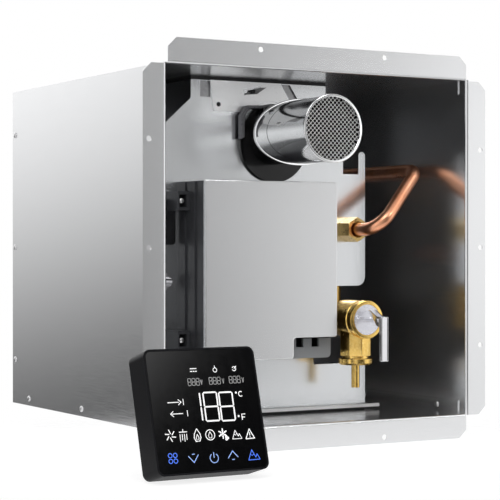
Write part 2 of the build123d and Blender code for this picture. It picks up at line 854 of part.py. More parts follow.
save(flue_collar, "flue_collar")

with BuildPart() as exhaust_pipe:
    rod_back(flue_x, flue_z, duct_end, 0, flue_r + rim_bead)
    split(bisect_by=mitre, keep=Keep.BOTTOM)
    split(bisect_by=mitre.offset(-2 * rim_bead), keep=Keep.TOP)
    rod_back(flue_x, flue_z, -flue_reach, duct_end, flue_r)
    split(bisect_by=mitre, keep=Keep.BOTTOM)
    rod_back(flue_x, flue_z, -flue_reach, -flue_reach + rim_len, flue_r + rim_bead)
    fillet(exhaust_pipe.faces().sort_by(Axis.Y)[0].edges(), rim_bead * 0.75)
    rod_back(flue_x, flue_z, -flue_reach - 1, duct_end, flue_r - flue_wall, mode=Mode.SUBTRACT)
save(exhaust_pipe, "exhaust_pipe")

with BuildPart() as exhaust_screen:
    screen_r = flue_r - flue_wall - running_gap
    with BuildSketch(front_plane(-flue_reach + screen_set + screen_t)):
        with Locations((flue_x, flue_z)):
            Circle(screen_r)
        cells = int(2 * screen_r / screen_pitch)
        half = (cells - 1) / 2
        spots = []
        for row in range(cells):
            for column in range(cells):
                u = (row - half) * screen_pitch
                v = (column - half) * screen_pitch
                if (u * u + v * v) ** 0.5 < screen_r - screen_pitch * 0.75:
                    along = (u - v) * cos(radians(45))
                    across = (u + v) * sin(radians(45))
                    spots.append((flue_x + along, flue_z + across))
        with Locations(spots):
            mesh_gap = screen_pitch - screen_wire
            Rectangle(mesh_gap, mesh_gap, rotation=45, mode=Mode.SUBTRACT)
    extrude(amount=screen_t)
    print(f"screen holes {len(spots)}")
save(exhaust_screen, "exhaust_screen")

with BuildPart() as overheat_cutout:
    cutout_r = 8
    cutout_h = 7
    ear_w = 14
    ear_h = 4
    blade_in = 3
    disc_z = shell_top - cutout_r - skin
    disc_front = exchanger_front - cutout_h
    rod_back(exchanger_mid, disc_z, disc_front, exchanger_front, cutout_r)
    block(
        exchanger_mid - ear_w, exchanger_mid + ear_w, exchanger_front - skin, exchanger_front,
        disc_z - ear_h, disc_z + ear_h,
    )
    for x in (exchanger_mid - blade_in, exchanger_mid + blade_in):
        block(x - 0.4, x + 0.4, disc_front - cutout_h, disc_front, disc_z - 2.5, disc_z + 2.5)
save(overheat_cutout, "overheat_cutout")

# Gas side: valve block on its feet, two coils, one of them with its plunger and spring, and the inlet
valve_back_y = valve_front_y + valve_d
valve_low = tray_top + valve_foot_h
valve_high = valve_low + valve_h
main_coil_y = valve_front_y + coil_in
second_coil_y = valve_back_y - coil_in
bore_r = plunger_r + running_gap
seat_z = valve_high + 2
spring_low = seat_z + plunger_h
spring_high = valve_high + coil_can_h - 2

with BuildPart() as gas_valve_body:
    block(gas_x - valve_w / 2, gas_x + valve_w / 2, valve_front_y, valve_back_y, valve_low, valve_high)
    chamfer(gas_valve_body.edges().filter_by(Axis.Z), valve_edge)
    for y in (valve_front_y + valve_foot_in, valve_back_y - valve_foot_in):
        rod((gas_x, y, tray_top), (gas_x, y, valve_low), valve_foot_r)
    rod(
        (gas_x, main_coil_y, valve_high - 8), (gas_x, main_coil_y, valve_high + 1), bore_r,
        mode=Mode.SUBTRACT,
    )
    rod_back(gas_x, nozzle_z, valve_front_y - 1, valve_front_y + 12, gas_tube_r, mode=Mode.SUBTRACT)
    rod_back(gas_x, gas_z, valve_back_y - 12, valve_back_y + 1, gas_tube_r - 1, mode=Mode.SUBTRACT)
save(gas_valve_body, "gas_valve_body")

with BuildPart() as solenoid_coils:
    for y in (main_coil_y, second_coil_y):
        rod((gas_x, y, valve_high), (gas_x, y, valve_high + coil_can_h), coil_can_r)
        rod((gas_x, y, valve_high + coil_can_h), (gas_x, y, valve_high + coil_can_h + 3), 6)
        block(
            gas_x - coil_can_r - 2, gas_x + 2, y - 4, y + 4, valve_high + coil_can_h - 12,
            valve_high + coil_can_h - 2,
        )
    rod((gas_x, main_coil_y, valve_high - 1), (gas_x, main_coil_y, spring_high), bore_r, mode=Mode.SUBTRACT)
save(solenoid_coils, "solenoid_coils")

with BuildPart() as solenoid_plunger:
    rod((gas_x, main_coil_y, seat_z), (gas_x, main_coil_y, seat_z + plunger_h), plunger_r)
    rod((gas_x, main_coil_y, seat_z - 6), (gas_x, main_coil_y, seat_z), plunger_r - 2)
save(solenoid_plunger, "solenoid_plunger")

spring_r = plunger_r - spring_wire
spring_pitch = (spring_high - spring_low - 2 * spring_wire) / spring_turns
with BuildPart() as plunger_spring:
    with BuildLine(Plane(origin=(gas_x, main_coil_y, spring_low + spring_wire))) as coil_line:
        Helix(spring_pitch, spring_pitch * spring_turns, spring_r)
    with BuildSketch(Plane(origin=coil_line.line @ 0, z_dir=coil_line.line % 0)):
        Circle(spring_wire / 2)
    sweep()
save(plunger_spring, "plunger_spring")


def back_fitting(x, z, inner_y, inner_r, bore):
    """A fitting through the back wall: threaded outside, hexagon inside, and a tail to its pipe."""
    with BuildPart() as fitting:
        rod_back(x, z, case_d + sheet, case_d + thread_len, thread_r)
        chamfer(fitting.faces().sort_by(Axis.Y)[-1].edges(), 1)
        rod_back(x, z, in_back, case_d + sheet, thread_r - thread_neck)
        hexagon((x, in_back, z), fitting_hex_t, fitting_flats)
        rod_back(x, z, inner_y, in_back - fitting_hex_t, inner_r)
        rod_back(x, z, inner_y - 1, case_d + thread_len + 1, bore, mode=Mode.SUBTRACT)
    return fitting


gas_tail_y = valve_back_y + gas_tail
gas_inlet_fitting = back_fitting(gas_x, gas_z, gas_tail_y, gas_tube_r + 3, gas_tube_r - 1)
save(gas_inlet_fitting, "gas_inlet_fitting")

with BuildPart() as gas_pipe:
    rod_back(gas_x, gas_z, valve_back_y, gas_tail_y, gas_tube_r)
    rod_back(gas_x, gas_z, valve_back_y - 1, gas_tail_y + 1, gas_tube_r - 1, mode=Mode.SUBTRACT)
save(gas_pipe, "gas_pipe")

# Cold side, on one line: inlet, flow sensor, tube, tee to the coil, and the drain plug in front
tee_back_y = first_pass_y + tee_half
tee_front_y = first_pass_y - tee_half
sensor_back_y = in_back - fitting_hex_t - water_tail
sensor_front_y = sensor_back_y - sensor_len

water_inlet_fitting = back_fitting(cold_x, low_row_z, sensor_back_y, sensor_bore, tube_bore)
save(water_inlet_fitting, "water_inlet_fitting")

with BuildPart() as flow_sensor_housing:
    rod_back(cold_x, low_row_z, sensor_front_y, sensor_back_y, sensor_r)
    rod_back(cold_x, low_row_z, sensor_front_y + sensor_wall, sensor_back_y - sensor_wall, sensor_bore,
             mode=Mode.SUBTRACT)
    block(
        cold_x - sensor_top_w / 2, cold_x + sensor_top_w / 2, sensor_front_y + sensor_top_in,
        sensor_back_y - sensor_top_in, low_row_z + sensor_r - 2, low_row_z + sensor_r + sensor_top_h,
    )
    rod_back(cold_x, low_row_z, sensor_front_y - 1, sensor_back_y + 1, axle_r + running_gap,
             mode=Mode.SUBTRACT)
    with BuildSketch(front_plane(sensor_back_y + 1)):
        with Locations((cold_x, low_row_z)):
            with PolarLocations(5, 4):
                Circle(2.4)
    extrude(amount=sensor_len + 2, mode=Mode.SUBTRACT)
save(flow_sensor_housing, "flow_sensor_housing")

turbine_front_y = sensor_front_y + turbine_in
turbine_back_y = sensor_back_y - turbine_in
with BuildPart() as flow_turbine:
    rod_back(cold_x, low_row_z, turbine_front_y, turbine_back_y, turbine_hub_r)
    rod_back(cold_x, low_row_z, sensor_front_y + 1, sensor_back_y - 1, axle_r)
    for blade in range(turbine_blades):
        angle = 360 * blade / turbine_blades
        with Locations(Plane(
            origin=(cold_x, (turbine_front_y + turbine_back_y) / 2, low_row_z),
            x_dir=(cos(radians(angle)), 0, sin(radians(angle))), z_dir=(0, -1, 0),
        )):
            with Locations((5, 0, 0)):
                Box(5, 1, turbine_back_y - turbine_front_y - 4, rotation=(turbine_twist, 0, 0))
save(flow_turbine, "flow_turbine")

with BuildPart() as cold_water_tube:
    rod_back(cold_x, low_row_z, tee_back_y, sensor_front_y, tube_r)
    rod_back(cold_x, low_row_z, tee_back_y - 1, sensor_front_y + 1, tube_bore, mode=Mode.SUBTRACT)
save(cold_water_tube, "cold_water_tube")

with BuildPart() as drain_tee:
    rod_back(cold_x, low_row_z, tee_front_y, tee_back_y, tee_r)
    rod((cold_x, first_pass_y, low_row_z), (cold_x + tee_branch, first_pass_y, low_row_z), tee_arm_r)
    rod_back(cold_x, low_row_z, plate_back, tee_front_y, tee_front_r)
    rod_back(cold_x, low_row_z, plate_back + plug_in, tee_back_y + 1, tube_bore, mode=Mode.SUBTRACT)
    rod_back(cold_x, low_row_z, plate_back - 1, plate_back + plug_in, plug_r + 2 * running_gap,
             mode=Mode.SUBTRACT)
    rod((cold_x, first_pass_y, low_row_z), (cold_x + tee_branch + 1, first_pass_y, low_row_z), coil_r - 1,
        mode=Mode.SUBTRACT)
save(drain_tee, "drain_tee")

with BuildPart() as drain_plug:
    rod_back(cold_x, low_row_z, plate_setback, plate_back + plug_in - 1, plug_r)
    head_y = plate_setback - plug_head_t
    rod_back(cold_x, low_row_z, head_y, plate_setback, plug_head_r)
    hexagon((cold_x, head_y, low_row_z), plug_hex_h, plug_flats)
    rod_back(cold_x, low_row_z, head_y - plug_hex_h - 1, head_y - 2, plug_socket_r, mode=Mode.SUBTRACT)
save(drain_plug, "drain_plug")

# Hot side: manifold behind the plate, nut in front, and the bare copper tube to the outlet
with BuildPart() as hot_water_manifold:
    rod((manifold_x, manifold_y, relief_z - 14), (manifold_x, manifold_y, nut_z + 14), manifold_r)
    rod_back(nut_x, nut_z, manifold_y, plate_setback - 4, boss_r)
    rod_back(relief_x, relief_z, manifold_y, plate_back + 6, manifold_r)
    rod((manifold_x, manifold_y, relief_z), (manifold_x, manifold_y, nut_z), tube_bore, mode=Mode.SUBTRACT)
    rod_back(nut_x, nut_z, manifold_y, plate_setback - 5, tube_bore, mode=Mode.SUBTRACT)
save(hot_water_manifold, "hot_water_manifold")

with BuildPart() as outlet_nut:
    nut_back = plate_setback - slip_gap
    hexagon((nut_x, nut_back, nut_z), nut_len - 4, nut_flats)
    rod_back(nut_x, nut_z, nut_back - nut_len + 4, nut_back - nut_len, nut_flats / 2 - 1)
    rod_back(nut_x, nut_z, nut_back + 1, plate_setback - 5, boss_r + running_gap, mode=Mode.SUBTRACT)
    rod_back(nut_x, nut_z, nut_back, nut_back - nut_len - 1, tube_r + running_gap, mode=Mode.SUBTRACT)
save(outlet_nut, "outlet_nut")

with BuildPart() as hot_water_tube:
    hot_end_y = in_back - fitting_hex_t - hot_tail
    reach_y = plate_setback - hot_reach
    with BuildLine() as route:
        FilletPolyline(
            (nut_x, plate_setback - 5, nut_z), (nut_x, reach_y, nut_z),
            (hot_x, reach_y + hot_lean, hot_z), (hot_x, hot_end_y, hot_z),
            radius=[hot_bend_r, hot_bend_r],
        )
    with BuildSketch(Plane(origin=route.line @ 0, z_dir=route.line % 0)):
        Circle(tube_r)
    sweep()
    tube_length = route.wire().length
    print(f"hot tube length {tube_length:.0f}, volume ratio "
          f"{hot_water_tube.part.volume / (3.14159265 * tube_r ** 2 * tube_length):.4f}")
save(hot_water_tube, "hot_water_tube")

water_outlet_fitting = back_fitting(hot_x, hot_z, hot_end_y, sensor_bore, tube_bore)
save(water_outlet_fitting, "water_outlet_fitting")

# Relief valve with its test lever, in the window of the front plate
valve_y = plate_setback - valve_front
valve_back = valve_y + valve_len
spout_y = valve_y + spout_set
with BuildPart() as relief_valve_body:
    rod_back(relief_x, relief_z, valve_y, valve_back, valve_r)
    chamfer(relief_valve_body.faces().sort_by(Axis.Y)[0].edges(), 1.2)
    rod_back(relief_x, relief_z, valve_back, plate_back + 6, thread_r)
    rod((relief_x, spout_y, relief_z), (relief_x, spout_y, relief_z - spout_len), spout_r)
    rod(
        (relief_x, spout_y, relief_z - spout_len), (relief_x, spout_y, relief_z - spout_len - 1.5),
        spout_r - 2,
    )
    rod(
        (relief_x, spout_y, relief_z - spout_len - 1.5),
        (relief_x, spout_y, relief_z - spout_len - 1.5 - foot_ring_t), foot_ring_r,
    )
    rod_back(relief_x, relief_z, valve_y - 1, valve_y + disc_t, disc_r, mode=Mode.SUBTRACT)
    rod_back(relief_x, relief_z, valve_y, valve_y + 16, stem_r + running_gap, mode=Mode.SUBTRACT)
    drip_top = relief_z - spout_len - 1.5 - foot_ring_t
    spigot_r = drip_tube_r - slip_gap
    rod(
        (relief_x, spout_y, drip_top), (relief_x, spout_y, drip_top + drip_spigot + 1),
        spigot_r + 2 * running_gap, mode=Mode.SUBTRACT,
    )
save(relief_valve_body, "relief_valve_body")

with BuildPart() as relief_valve_disc:
    rod_back(relief_x, relief_z, valve_y, valve_y + disc_t, disc_r - 2 * running_gap)
    rod_back(relief_x, relief_z, valve_y - 1, valve_y + 2, stem_r + running_gap, mode=Mode.SUBTRACT)
save(relief_valve_disc, "relief_valve_disc")

pin_y = valve_y - stem_out + 5
with BuildPart() as relief_stem:
    rod_back(relief_x, relief_z, valve_y - stem_out, valve_y + 14, stem_r)
    rod(
        (relief_x - 2 * stem_r, pin_y, relief_z), (relief_x + 2 * stem_r, pin_y, relief_z),
        pin_r + running_gap, mode=Mode.SUBTRACT,
    )
save(relief_stem, "relief_stem")

with BuildPart() as relief_pivot_pin:
    half_pin = lever_w / 2 + 0.8
    rod((relief_x - half_pin, pin_y, relief_z), (relief_x + half_pin, pin_y, relief_z), pin_r)
    for side in (-1, 1):
        rod(
            (relief_x + side * (lever_w / 2 + slip_gap), pin_y, relief_z),
            (relief_x + side * half_pin, pin_y, relief_z), pin_r + 0.8,
        )
save(relief_pivot_pin, "relief_pivot_pin")

with BuildPart() as relief_lever:
    strap_y = valve_y - stem_out - 1
    for side in (-1, 1):
        cheek_x = relief_x + side * lever_w / 2
        with BuildSketch(Plane.YZ.offset(cheek_x)):
            with BuildLine():
                Polyline(
                    (strap_y - lever_t, relief_z - lever_len), (strap_y + 1.5, relief_z - lever_len),
                    (pin_y + 4, relief_z - 4), (pin_y + 14, relief_z + 7), (pin_y + 15.5, relief_z + 10),
                    (pin_y + 12, relief_z + 9.5), (strap_y - lever_t, relief_z + 3.5), close=True,
                )
            make_face()
            with Locations((pin_y, relief_z)):
                Circle(pin_r + running_gap, mode=Mode.SUBTRACT)
        extrude(amount=-side * lever_t)
    block(
        relief_x - lever_w / 2, relief_x + lever_w / 2, strap_y - lever_t, strap_y,
        relief_z - lever_len, relief_z + 3.5,
    )
save(relief_lever, "relief_lever")

with BuildPart() as relief_outlet_tube:
    drip_end = drip_top - drip_tube_len
    rod((relief_x, spout_y, drip_end), (relief_x, spout_y, drip_top - drip_shoulder), drip_tube_r)
    rod((relief_x, spout_y, drip_end), (relief_x, spout_y, drip_top + drip_spigot), spigot_r)
    rod(
        (relief_x, spout_y, drip_end - 1), (relief_x, spout_y, drip_top + drip_spigot + 1),
        drip_tube_r - drip_tube_wall, mode=Mode.SUBTRACT,
    )
save(relief_outlet_tube, "relief_outlet_tube")

# Control box: dark base, pale cover, circuit board and socket plate
clip_zs = (box_low + clip_end_in, box_high - clip_end_in - clip_h)
with BuildPart() as control_box_base:
    for n, (y0, y1) in enumerate(((cover_back, cover_back + 12), (cover_back + 12, cover_back + 28),
                                  (cover_back + 28, plate_setback))):
        grow = n * step_out - base_inset
        block(box_left - grow, box_right + grow, y0, y1, box_low - grow, box_high - base_inset)
    block(
        box_left + 3, box_right - 3, cover_back - 1, plate_setback - base_floor, box_low + 3, box_high - 3,
        mode=Mode.SUBTRACT,
    )
    block(
        box_right - notch_w, box_right + 1, cover_back - 1, cover_back + 8, box_low - 2,
        box_low + notch_h, mode=Mode.SUBTRACT,
    )
    for clip_z in clip_zs:
        block(box_left - clip_w, box_left, plate_setback - clip_d, plate_setback, clip_z, clip_z + clip_h)
        block(
            box_left - clip_w + 1.5, box_left - 4, plate_setback - clip_d - 1, plate_setback - clip_floor,
            clip_z + 3, clip_z + clip_h - 3, mode=Mode.SUBTRACT,
        )
        block(box_right, box_right + hook_w, plate_setback - clip_d, plate_setback, clip_z, clip_z + clip_h)
save(control_box_base, "control_box_base")

with BuildPart() as control_box_cover:
    with BuildSketch(front_plane(cover_back)) as outline:
        with BuildLine():
            Polyline(
                (box_left, box_low), (box_left, box_high), (box_right, box_high),
                (box_right, box_low + notch_h), (box_right - notch_w, box_low + notch_h),
                (box_right - notch_w, box_low), close=True,
            )
        make_face()
        for corner in ((box_left, box_low), (box_left, box_high), (box_right, box_high),
                       (box_right, box_low + notch_h)):
            fillet(outline.vertices().sort_by_distance(corner)[0], cover_corner_r)
    extrude(amount=cover_d)
    with BuildSketch(front_plane(cover_back)):
        with BuildLine():
            Polyline(
                (box_left + cover_wall, box_low + cover_wall),
                (box_left + cover_wall, box_high - cover_wall),
                (box_right - cover_wall, box_high - cover_wall),
                (box_right - cover_wall, box_low + notch_h + cover_wall),
                (box_right - notch_w - cover_wall, box_low + notch_h + cover_wall),
                (box_right - notch_w - cover_wall, box_low + cover_wall), close=True,
            )
        make_face()
    extrude(amount=cover_d - cover_wall, mode=Mode.SUBTRACT)
    fillet(control_box_cover.faces().sort_by(Axis.Y)[0].edges(), 0.8)
save(control_box_cover, "control_box_cover")

board_y = plate_setback - board_back_gap
with BuildPart() as control_board:
    board_left = box_left + board_in
    board_right = box_right - board_in
    board_low = box_low + notch_h + board_in
    board_high = box_high - board_in
    board_front = board_y - board_t
    block(board_left, board_right, board_front, board_y, board_low, board_high)
    for x in (board_left + board_in, board_right - board_in):
        for z in (board_low + board_in, board_high - board_in):
            rod_back(x, z, board_y, plate_setback - base_floor, board_post_r)
    with Locations(((board_left + board_right) / 2, board_front, (board_low + board_high) / 2)):
        with GridLocations(relay_pitch, 0, relay_count, 1):
            for row, relay_w in ((-1, relay_h), (1, 2 * relay_h / 3)):
                with Locations((0, 0, row * relay_pitch / 2)):
                    Box(relay_w, relay_d, relay_h, align=(Align.CENTER, Align.MAX, Align.CENTER))
save(control_board, "control_board")

with BuildPart() as connector_plate:
    with BuildSketch(front_plane(cover_back + 8)) as outline:
        with Locations((box_right - notch_w / 2, box_low + notch_h / 2 - 1)):
            Rectangle(notch_w, notch_h - 1)
        fillet(outline.vertices().sort_by_distance((box_right, box_low))[0], 4)
        for socket_in in (34.5, 17.3):
            with Locations((box_right - socket_in, box_low + notch_h - 5.5)):
                Rectangle(8, 8, mode=Mode.SUBTRACT)
    extrude(amount=3)
save(connector_plate, "connector_plate")

with BuildPart() as clip_screws:
    screw_x = box_left - (clip_w + 2.5) / 2
    screw_face = plate_setback - clip_floor
    for clip_z in clip_zs:
        z = clip_z + clip_h / 2
        rod_back(screw_x, z, screw_face, screw_face - 2.5, 2.6)
        block(
            screw_x - 2, screw_x + 2, screw_face - 3, screw_face - 1.7, z - 0.4, z + 0.4,
            mode=Mode.SUBTRACT,
        )
save(clip_screws, "clip_screws")

# Controller: glass front, rim, shell with its wall plate, and the display board inside
foot_z = base - flange_w
pad_right_dir = Vector(cos(radians(pad_turn)), sin(radians(pad_turn)), 0)
pad_back_dir = Vector(
    -sin(radians(pad_turn)) * cos(radians(pad_lean)), cos(radians(pad_turn)) * cos(radians(pad_lean)),
    -sin(radians(pad_lean)),
)
pad_up_dir = pad_right_dir.cross(pad_back_dir)
pad_corner_point = Vector(-pad_left, -pad_front, foot_z + pad_t * sin(radians(pad_lean)))
pad_centre = pad_corner_point + pad_right_dir * (pad_w / 2) + pad_up_dir * (pad_w / 2)


def pad_plane(depth):
    """A plane across the controller, depth behind its glass, facing its user."""
    return Plane(origin=pad_centre + pad_back_dir * depth, x_dir=pad_right_dir, z_dir=pad_back_dir * -1)


with BuildPart() as controller_glass:
    with BuildSketch(pad_plane(pad_glass_t)):
        RectangleRounded(pad_w - 2 * pad_bezel, pad_w - 2 * pad_bezel, pad_corner - pad_bezel)
    extrude(amount=pad_glass_t)
    chamfer(controller_glass.faces().sort_by_distance(pad_centre)[0].edges(), 0.3)
save(controller_glass, "controller_glass")

with BuildPart() as controller_front_frame:
    with BuildSketch(pad_plane(pad_t / 2)):
        RectangleRounded(pad_w, pad_w, pad_corner)
    extrude(amount=pad_t / 2)
    with BuildSketch(pad_plane(0)):
        RectangleRounded(pad_w - 2 * pad_bezel, pad_w - 2 * pad_bezel, pad_corner - pad_bezel)
    extrude(amount=-pad_glass_t, mode=Mode.SUBTRACT)
    with BuildSketch(pad_plane(0)):
        RectangleRounded(pad_w - 10, pad_w - 10, 2)
    extrude(amount=-pad_t, mode=Mode.SUBTRACT)
save(controller_front_frame, "controller_front_frame")

with BuildPart() as controller_rear_shell:
    with BuildSketch(pad_plane(pad_t)):
        RectangleRounded(pad_w, pad_w, pad_corner)
    extrude(amount=pad_t / 2)
    with BuildSketch(pad_plane(pad_t - pad_wall)):
        RectangleRounded(pad_w - 2 * pad_wall, pad_w - 2 * pad_wall, pad_corner - pad_wall)
    extrude(amount=pad_t, mode=Mode.SUBTRACT)
    with BuildSketch(pad_plane(pad_t - pad_wall)):
        with GridLocations(pad_w - 30, pad_w - 30, 2, 2):
            Circle(3)
    extrude(amount=pad_t / 2 - pad_wall)
    with BuildSketch(pad_plane(pad_t + 1)):
        with Locations((-pad_w / 4, 0), (pad_w / 4, 0)):
            SlotOverall(12, 5, rotation=90)
        SlotOverall(24, 10)
    extrude(amount=pad_wall + 2, mode=Mode.SUBTRACT)
save(controller_rear_shell, "controller_rear_shell")

with BuildPart() as controller_display:
    with BuildSketch(pad_plane(pad_t / 2)):
        Rectangle(pad_w - 12, pad_w - 12)
    extrude(amount=1.6)
    with BuildSketch(pad_plane(pad_t / 2 - 1.6)):
        with Locations((0, display_up)):
            Rectangle(pad_w - 2 * display_side, display_h)
    extrude(amount=pad_t / 2 - 1.6 - pad_glass_t - slip_gap)
save(controller_display, "controller_display")
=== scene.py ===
# %% [markdown]
# # A built-in gas water heater
# The heater's solids come in as a fixed frame. This lesson gives them their finishes, adds the turned,
# bent and woven pieces that need finer shapes, and photographs the whole in a small white studio.
# The solids carry all the sizes, so a new piece only has to follow its place in them.

# %% Load the fixed frame
from math import cos, pi, radians, sin, sqrt, tan

import bmesh
import bpy
from mathutils import Matrix, Quaternion, Vector


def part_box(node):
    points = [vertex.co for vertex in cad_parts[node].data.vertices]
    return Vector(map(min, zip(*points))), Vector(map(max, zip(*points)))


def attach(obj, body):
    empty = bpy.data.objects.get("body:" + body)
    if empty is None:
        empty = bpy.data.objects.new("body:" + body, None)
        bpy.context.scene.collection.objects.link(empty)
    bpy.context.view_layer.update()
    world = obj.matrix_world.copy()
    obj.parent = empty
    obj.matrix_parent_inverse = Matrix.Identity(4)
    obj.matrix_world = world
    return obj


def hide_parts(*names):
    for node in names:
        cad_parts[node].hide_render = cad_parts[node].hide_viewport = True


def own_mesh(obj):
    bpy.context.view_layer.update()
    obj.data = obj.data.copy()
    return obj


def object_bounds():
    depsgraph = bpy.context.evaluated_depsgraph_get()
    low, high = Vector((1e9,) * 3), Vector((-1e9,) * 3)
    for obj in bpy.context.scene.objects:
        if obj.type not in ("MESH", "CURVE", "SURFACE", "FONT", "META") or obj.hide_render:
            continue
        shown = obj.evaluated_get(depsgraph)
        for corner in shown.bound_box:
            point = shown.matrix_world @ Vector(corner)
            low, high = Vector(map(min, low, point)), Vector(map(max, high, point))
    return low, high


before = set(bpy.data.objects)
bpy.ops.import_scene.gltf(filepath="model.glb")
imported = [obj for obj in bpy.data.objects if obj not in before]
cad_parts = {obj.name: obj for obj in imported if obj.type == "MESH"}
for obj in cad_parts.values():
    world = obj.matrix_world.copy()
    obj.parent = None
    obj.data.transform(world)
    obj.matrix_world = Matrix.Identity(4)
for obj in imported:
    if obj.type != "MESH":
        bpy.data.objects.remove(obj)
cad_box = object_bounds()
print("nodes", len(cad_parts))

# %% [markdown]
# ## Camera
# The photograph was taken from the left, level with the middle of the case. A long lens keeps the case's
# long edges nearly parallel, and the lens and place were found from the corners of the case.

# %% Camera
CAMERA_PLACE = (-0.8452, -1.3181, 0.0007)
CAMERA_TILT, CAMERA_TURN = 89.89, -30.19
camera_data = bpy.data.cameras.new("camera")
camera_data.lens = 123.3
camera_data.sensor_width = 36
camera_data.clip_end = 50
camera = bpy.data.objects.new("camera", camera_data)
camera.location = CAMERA_PLACE
camera.rotation_euler = (radians(CAMERA_TILT), 0, radians(CAMERA_TURN))
bpy.context.scene.collection.objects.link(camera)
bpy.context.scene.camera = camera
bpy.context.scene.view_settings.view_transform = "Standard"
print("camera at", tuple(camera.location))

# %% [markdown]
# ## Studio
# Bright sheet metal has almost no colour of its own and shows the room instead, so the room matters more
# than the metal. The lens sees a white backdrop all round. The metal and the glass see that backdrop as a
# grey room with a few soft bright zones, each named for the face that mirrors it. Everything else only gets
# an even light from the room. One helper adds a node and joins it up, because all of this is made of nodes.

# %% Helper for nodes
def add_node(tree, kind, inputs, operation=None, smooth=False):
    """Add a shader node, and link or set its inputs. A node given there stands for its first output."""
    made = tree.nodes.new(kind)
    if operation:
        made.operation = operation
    if smooth:
        made.interpolation_type = "SMOOTHSTEP"
    for key, value in inputs.items():
        if isinstance(value, bpy.types.Node):
            value = value.outputs[0]
        if isinstance(value, bpy.types.NodeSocket):
            tree.links.new(value, made.inputs[key])
        else:
            made.inputs[key].default_value = value
    return made


# %% World and helpers for its room
world = bpy.data.worlds.new("studio")
world.use_nodes = True
bpy.context.scene.world = world
sky = world.node_tree
sky.nodes.clear()
look = add_node(sky, "ShaderNodeTexCoord", {}).outputs["Generated"]


def sky_fit(value, low, high, level_low, level_high):
    """A smooth step between two levels over one range of a value."""
    steps = {"Value": value, "From Min": low, "From Max": high, "To Min": level_low, "To Max": level_high}
    return add_node(sky, "ShaderNodeMapRange", steps, smooth=True)


def sky_sum(first, second):
    """Two levels added."""
    return add_node(sky, "ShaderNodeMath", {0: first, 1: second})


def bright_zone(turn, rise, inner, outer, level, squash=1.0):
    """A soft round zone of the room, turned from the front to the right and raised, in degrees."""
    flat = add_node(sky, "ShaderNodeVectorMath", {0: look, 1: (1, 1, squash)}, operation="MULTIPLY")
    unit = add_node(sky, "ShaderNodeVectorMath", {0: flat}, operation="NORMALIZE")
    level_way = cos(radians(rise))
    way = (sin(radians(turn)) * level_way, -cos(radians(turn)) * level_way, sin(radians(rise)))
    near = add_node(sky, "ShaderNodeVectorMath", {0: unit, 1: way}, operation="DOT_PRODUCT")
    return sky_fit(near.outputs["Value"], cos(radians(outer)), cos(radians(inner)), 0, level)


# %% Room
# Steps by height: from, to, and the levels below and above.
height_steps = (
    (0.35, 0.8, 0.24, 0.90), (0.12, 0.3, 0, -0.24), (-0.11, 0.10, -0.19, 0.18), (-0.5, -0.2, 0.65, 0),
)
# Turn, rise, inner and outer radius in degrees, level, flatness.
zones = {
    "front faces": (54, -5, 16, 28, 1.08, 1.3),
    "case edges": (-75, 0, 15, 35, 1.1),
    "left wall": (188, 26, 12, 37, 1.4),
    "controller glass": (25, 29, 3, 9, 11.0),
    "side wall": (-31, -6, 4, 16, 0.8),
    "right wall": (150, 0, 13, 20, 0.75),
}
EVEN_GREY = (0.42, 0.42, 0.42, 1)
look_z = add_node(sky, "ShaderNodeSeparateXYZ", {"Vector": look}).outputs["Z"]
room = sky_fit(look_z, *height_steps[0])
for step in height_steps[1:]:
    room = sky_sum(room, sky_fit(look_z, *step))
for zone in zones.values():
    room = sky_sum(room, bright_zone(*zone))
ray = add_node(sky, "ShaderNodeLightPath", {}).outputs
backdrop_level = add_node(sky, "ShaderNodeMapRange", {"Value": ray["Is Camera Ray"], "To Min": room})
backdrop = add_node(sky, "ShaderNodeBackground", {"Color": backdrop_level})
even_light = add_node(sky, "ShaderNodeBackground", {"Color": EVEN_GREY})
seen = sky_sum(ray["Is Camera Ray"], sky_sum(ray["Is Glossy Ray"], ray["Is Transmission Ray"]))
pick = add_node(sky, "ShaderNodeMixShader", {"Fac": seen, 1: even_light, 2: backdrop})
add_node(sky, "ShaderNodeOutputWorld", {"Surface": pick})
print("room nodes", len(sky.nodes))


# %% Softboxes
def softbox(name, place, aim, width, height, power):
    """A rectangular studio light at a place, facing another."""
    light = bpy.data.lights.new(name, "AREA")
    light.shape = "RECTANGLE"
    light.size = width
    light.size_y = height
    light.energy = power
    lamp = bpy.data.objects.new(name, light)
    lamp.location = place
    lamp.rotation_euler = (Vector(aim) - Vector(place)).to_track_quat("-Z", "Y").to_euler()
    bpy.context.scene.collection.objects.link(lamp)
    print(name, power, "W")


softbox("front_softbox", (-0.9, -1.3, 1.5), (0, 0.05, 0), width=1.3, height=1.0, power=12)
softbox("right_softbox", (1.5, -0.9, 0.9), (0, 0.1, 0), width=0.9, height=0.9, power=3)

# %% [markdown]
# ## Floor
# The camera is so low that a large floor would show as a line behind the case. A disc that fades out
# towards its edge keeps only the soft shadow where the object stands. The lens and the metal see it glow
# a little, so that it meets the white backdrop without an edge.

# %% Floor disc
FLOOR_R, FLOOR_DROP = 1.4, 0.0005
floor_mesh = bpy.data.meshes.new("floor")
bm = bmesh.new()
bmesh.ops.create_circle(bm, cap_ends=True, segments=64, radius=FLOOR_R)
bmesh.ops.translate(bm, verts=bm.verts, vec=(0, 0, cad_box[0][2] - FLOOR_DROP))
bm.to_mesh(floor_mesh)
bm.free()
floor = bpy.data.objects.new("floor", floor_mesh)
bpy.context.scene.collection.objects.link(floor)
print("floor at", round(floor_mesh.vertices[0].co.z, 4))

